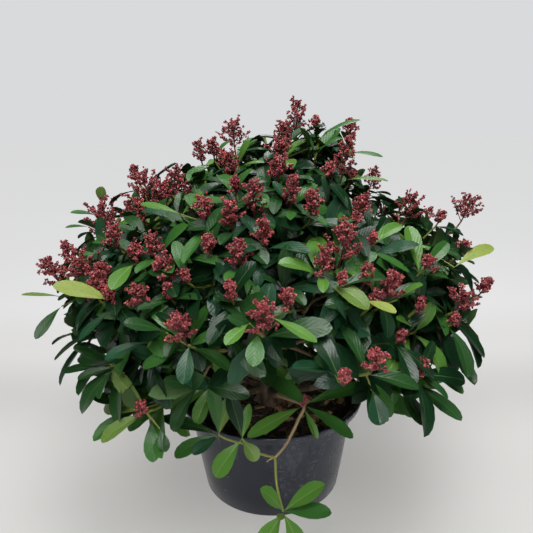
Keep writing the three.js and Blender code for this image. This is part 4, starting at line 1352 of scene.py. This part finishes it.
def flower_head(basket, hub, facing, length, width, random):
    """One head of buds: its stalk, its branches, and knots of buds along each."""
    top_way = unit(facing + (0, 0, UPRIGHT))
    tip = hub + top_way * length
    line = bend(hub - facing * 3, hub + facing * length * 0.3, tip - top_way * length * 0.3, tip, 4)
    tube(basket, line, np.linspace(*HEAD.stalk, 5), 5, STALK)
    branches = int(round(7 + length / 9))
    spread = max(0.35, (width - 12) / (0.87 * length))
    phase = random.uniform(0, 2 * math.pi)
    knots, ways = [], []
    for i in range(branches + 1):
        last = i == branches
        share = 0.93 if last else 0.22 + 0.70 * (i + random.uniform(0.2, 0.8)) / branches
        base, way = lined_up(line, share)
        diverge = 0 if last else math.radians(66 - 28 * share)
        branch = unit(way * math.cos(diverge) + spoke(way, phase + i * GOLDEN_ANGLE) * math.sin(diverge)
                      + (0, 0, 0.12))
        reach = length * (0.08 if last else 0.62 - 0.38 * share) * random.uniform(0.8, 1.2) * spread
        if not last:
            tube(basket, np.array([base, base + branch * reach * 0.55 - (0, 0, 0.6), base + branch * reach]),
                 HEAD.branch, 3, STALK)
        count = int(round(3 + reach / 5))
        along = np.linspace(0.3, 1.0, count) + random.uniform(-0.08, 0.08, count)
        out = unit(random.normal(size=(count, 3)) * 0.8 + branch * 0.7)
        knots.append(base + branch * reach * along[:, None] + out * random.uniform(1.6, 4.0, count)[:, None])
        ways.append(out)
    knots, ways = np.concatenate(knots), np.concatenate(ways)
    knots, ways = np.repeat(knots, HEAD.per_knot, 0), np.repeat(ways, HEAD.per_knot, 0)
    ways = unit(ways * 0.5 + unit(random.normal(size=ways.shape)))
    radii = random.uniform(*HEAD.bud, len(ways))
    tones = random.choice(len(HEAD.reds), len(ways), p=HEAD.reds)
    add_buds(basket, knots + ways * radii[:, None] * 1.7, ways, radii, tones)


# %% Set the heads on their shoots
# The rose and the wine are in part lit and shaded copies of the crimson: a painted highlight and painted
# shade, dealt to buds at random.
blossom_materials = [
    plain_material("bud_rose", paint(176, 82, 82), 0.5),
    plain_material("bud_crimson", paint(128, 49, 54), 0.5),
    plain_material("bud_wine", paint(92, 30, 40), 0.5),
    plain_material("bud_russet", paint(132, 76, 62), 0.55),
    plain_material("blossom_stalk", paint(92, 34, 38), 0.55),
]
for number, shoot in enumerate(shoots):
    random = np.random.default_rng(HEAD_DRAWS + number)
    if shoot.heads:
        flower_head(baskets[shoot.mass.name].blossom, shoot.hub, shoot.facing, shoot.length, shoot.width,
                    random)
print("The shrub has", sum(shoot.heads for shoot in shoots), "heads")

# %% Pour the baskets
twig_materials = [leaf_material("twig_brown", paint(98, 80, 60), 0.8, 0),
                  leaf_material("twig_green", paint(116, 122, 56), 0.6, 0)]
for name, kinds in baskets.items():
    kinds.leaves.pour(f"leaves_{name}", leaf_materials, "foliage", name)
    kinds.twigs.pour(f"twigs_{name}", twig_materials, "bark")
    if kinds.blossom.count:
        kinds.blossom.pour(f"blossom_{name}", blossom_materials, "foliage")

# %% [markdown]
# ## The shoot that hangs over the rim
# One long shoot has grown out over the rim and hangs down at the front. Its stem is bare and tan as far as a
# node, then two young shoots leave it, yellow-green, and the left one forks again. Each ends in a whorl of
# fresh leaves. Because everyone sees them, they are set one by one: for each a tip, a width and a green.


# %% Bend its stems
def smooth_line(places, steps):
    """A smooth line through places."""
    places = np.array(places, float)
    ends = np.concatenate([[2 * places[0] - places[1]], places, [2 * places[-1] - places[-2]]])
    line = []
    for a, b, c, d in zip(ends, ends[1:], ends[2:], ends[3:]):
        t = np.linspace(0, 1, steps, endpoint=False)[:, None]
        line.append(0.5 * (2 * b + (c - a) * t + (2 * a - 5 * b + 4 * c - d) * t ** 2
                           + (3 * b - a - 3 * c + d) * t ** 3))
    return np.concatenate([*line, places[-1:]])


hanging = SimpleNamespace(twigs=Basket(), leaves=Basket(), blossom=Basket())
rising = HANGING.bough_tip + HANGING.stem_way * 30
over = smooth_line([HANGING.bough_tip - 4 * HANGING.stem_way, rising, HANGING.crest, (43, -256, 280),
                    (33, -260, 258), (20, -263, 234), HANGING.node], 6)
tube(hanging.twigs, over, np.interp(np.linspace(0, 1, len(over)), (0, 0.35, 1), (5.0, 3.0, 2.1)), 8, TAN)
to_left = smooth_line([HANGING.node, (-24, -268, 226), HANGING.left], 5)
tube(hanging.twigs, to_left, np.linspace(2.2, 1.8, len(to_left)), 7, GREEN)
BEHIND = np.array([-89.0, -258.0, 254.0])
to_behind = smooth_line([to_left[-3], (-72, -264, 248), BEHIND], 4)
tube(hanging.twigs, to_behind, np.linspace(1.9, 1.6, len(to_behind)), 6, GREEN)
to_low = smooth_line([HANGING.node + (0, 0, 2), (6, -272, 168), HANGING.low], 5)
tube(hanging.twigs, to_low, np.linspace(2.3, 1.9, len(to_low)), 7, GREEN)
tube(hanging.twigs, smooth_line([HANGING.node + (0, 0, 1), HANGING.node + (-8, -2, -2),
                                 HANGING.node + (-14, -3, -6)], 2), np.linspace(1.8, 1.0, 5), 6, TAN)
print("It is bent along", len(over) + len(to_left) + len(to_behind) + len(to_low), "points")

# %% Set its leaves and its small buds
CREST_LEAVES = [  # where the tip is from the whorl in millimetres, the width, and the green
    ((78, -36, -40), 24, 3), ((115, 18, 24), 27, 3), ((-92, -35, -35), 27, 4), ((-54, 18, 46), 22, 3),
    ((-50, 25, 69), 17, 4), ((20, -40, -34), 13, 4),
]
LEFT_LEAVES = [((-20, 6, 79), 26, 0), ((-44, -22, -55), 33, 4), ((25, -24, -24), 25, 5),
               ((14, 13, 59), 17, 4)]
BEHIND_LEAVES = [((-8, 10, 89), 24, 3), ((-94, 6, 30), 25, 1), ((-73, -14, -30), 27, 3),
                 ((24, 14, 70), 22, 5), ((-40, -30, -14), 22, 2)]
LOW_LEAVES = [((-38, -12, 54), 28, 4), ((68, -10, 60), 30, 4), ((80, -20, 13), 30, 3),
              ((-38, -16, -58), 34, 4), ((28, -16, -62), 33, 4), ((-8, -30, 12), 14, 5)]
for hub, rows in ((HANGING.crest, CREST_LEAVES), (HANGING.left, LEFT_LEAVES), (BEHIND, BEHIND_LEAVES),
                  (HANGING.low, LOW_LEAVES)):
    random = np.random.default_rng(int(hub[2]))
    add_leaves(hanging.leaves, FULL_LEAF, [
        (hub - (0, 0, 0.8 * i), np.array(tip, float), (0.1, -0.5, 1.0), float(np.linalg.norm(tip)), width,
         random.uniform(0.3, 0.7), random.uniform(0.15, 0.35), random.uniform(-0.3, 0.3), tones_of(green))
        for i, (tip, width, green) in enumerate(rows)])
flower_head(hanging.blossom, HANGING.crest, unit((0.1, -0.5, 0.8)), 18, 18, np.random.default_rng(5))
hanging.leaves.pour("leaves_hanging_shoot", leaf_materials, "foliage", "hanging_shoot")
twig_tan = leaf_material("twig_tan", paint(132, 112, 84), 0.7, 0)
hanging.twigs.pour("twigs_hanging_shoot", [*twig_materials, twig_tan], "bark")
hanging.blossom.pour("blossom_hanging_shoot",
                     [blossom_materials[3], *blossom_materials[1:4], blossom_materials[4]], "foliage")
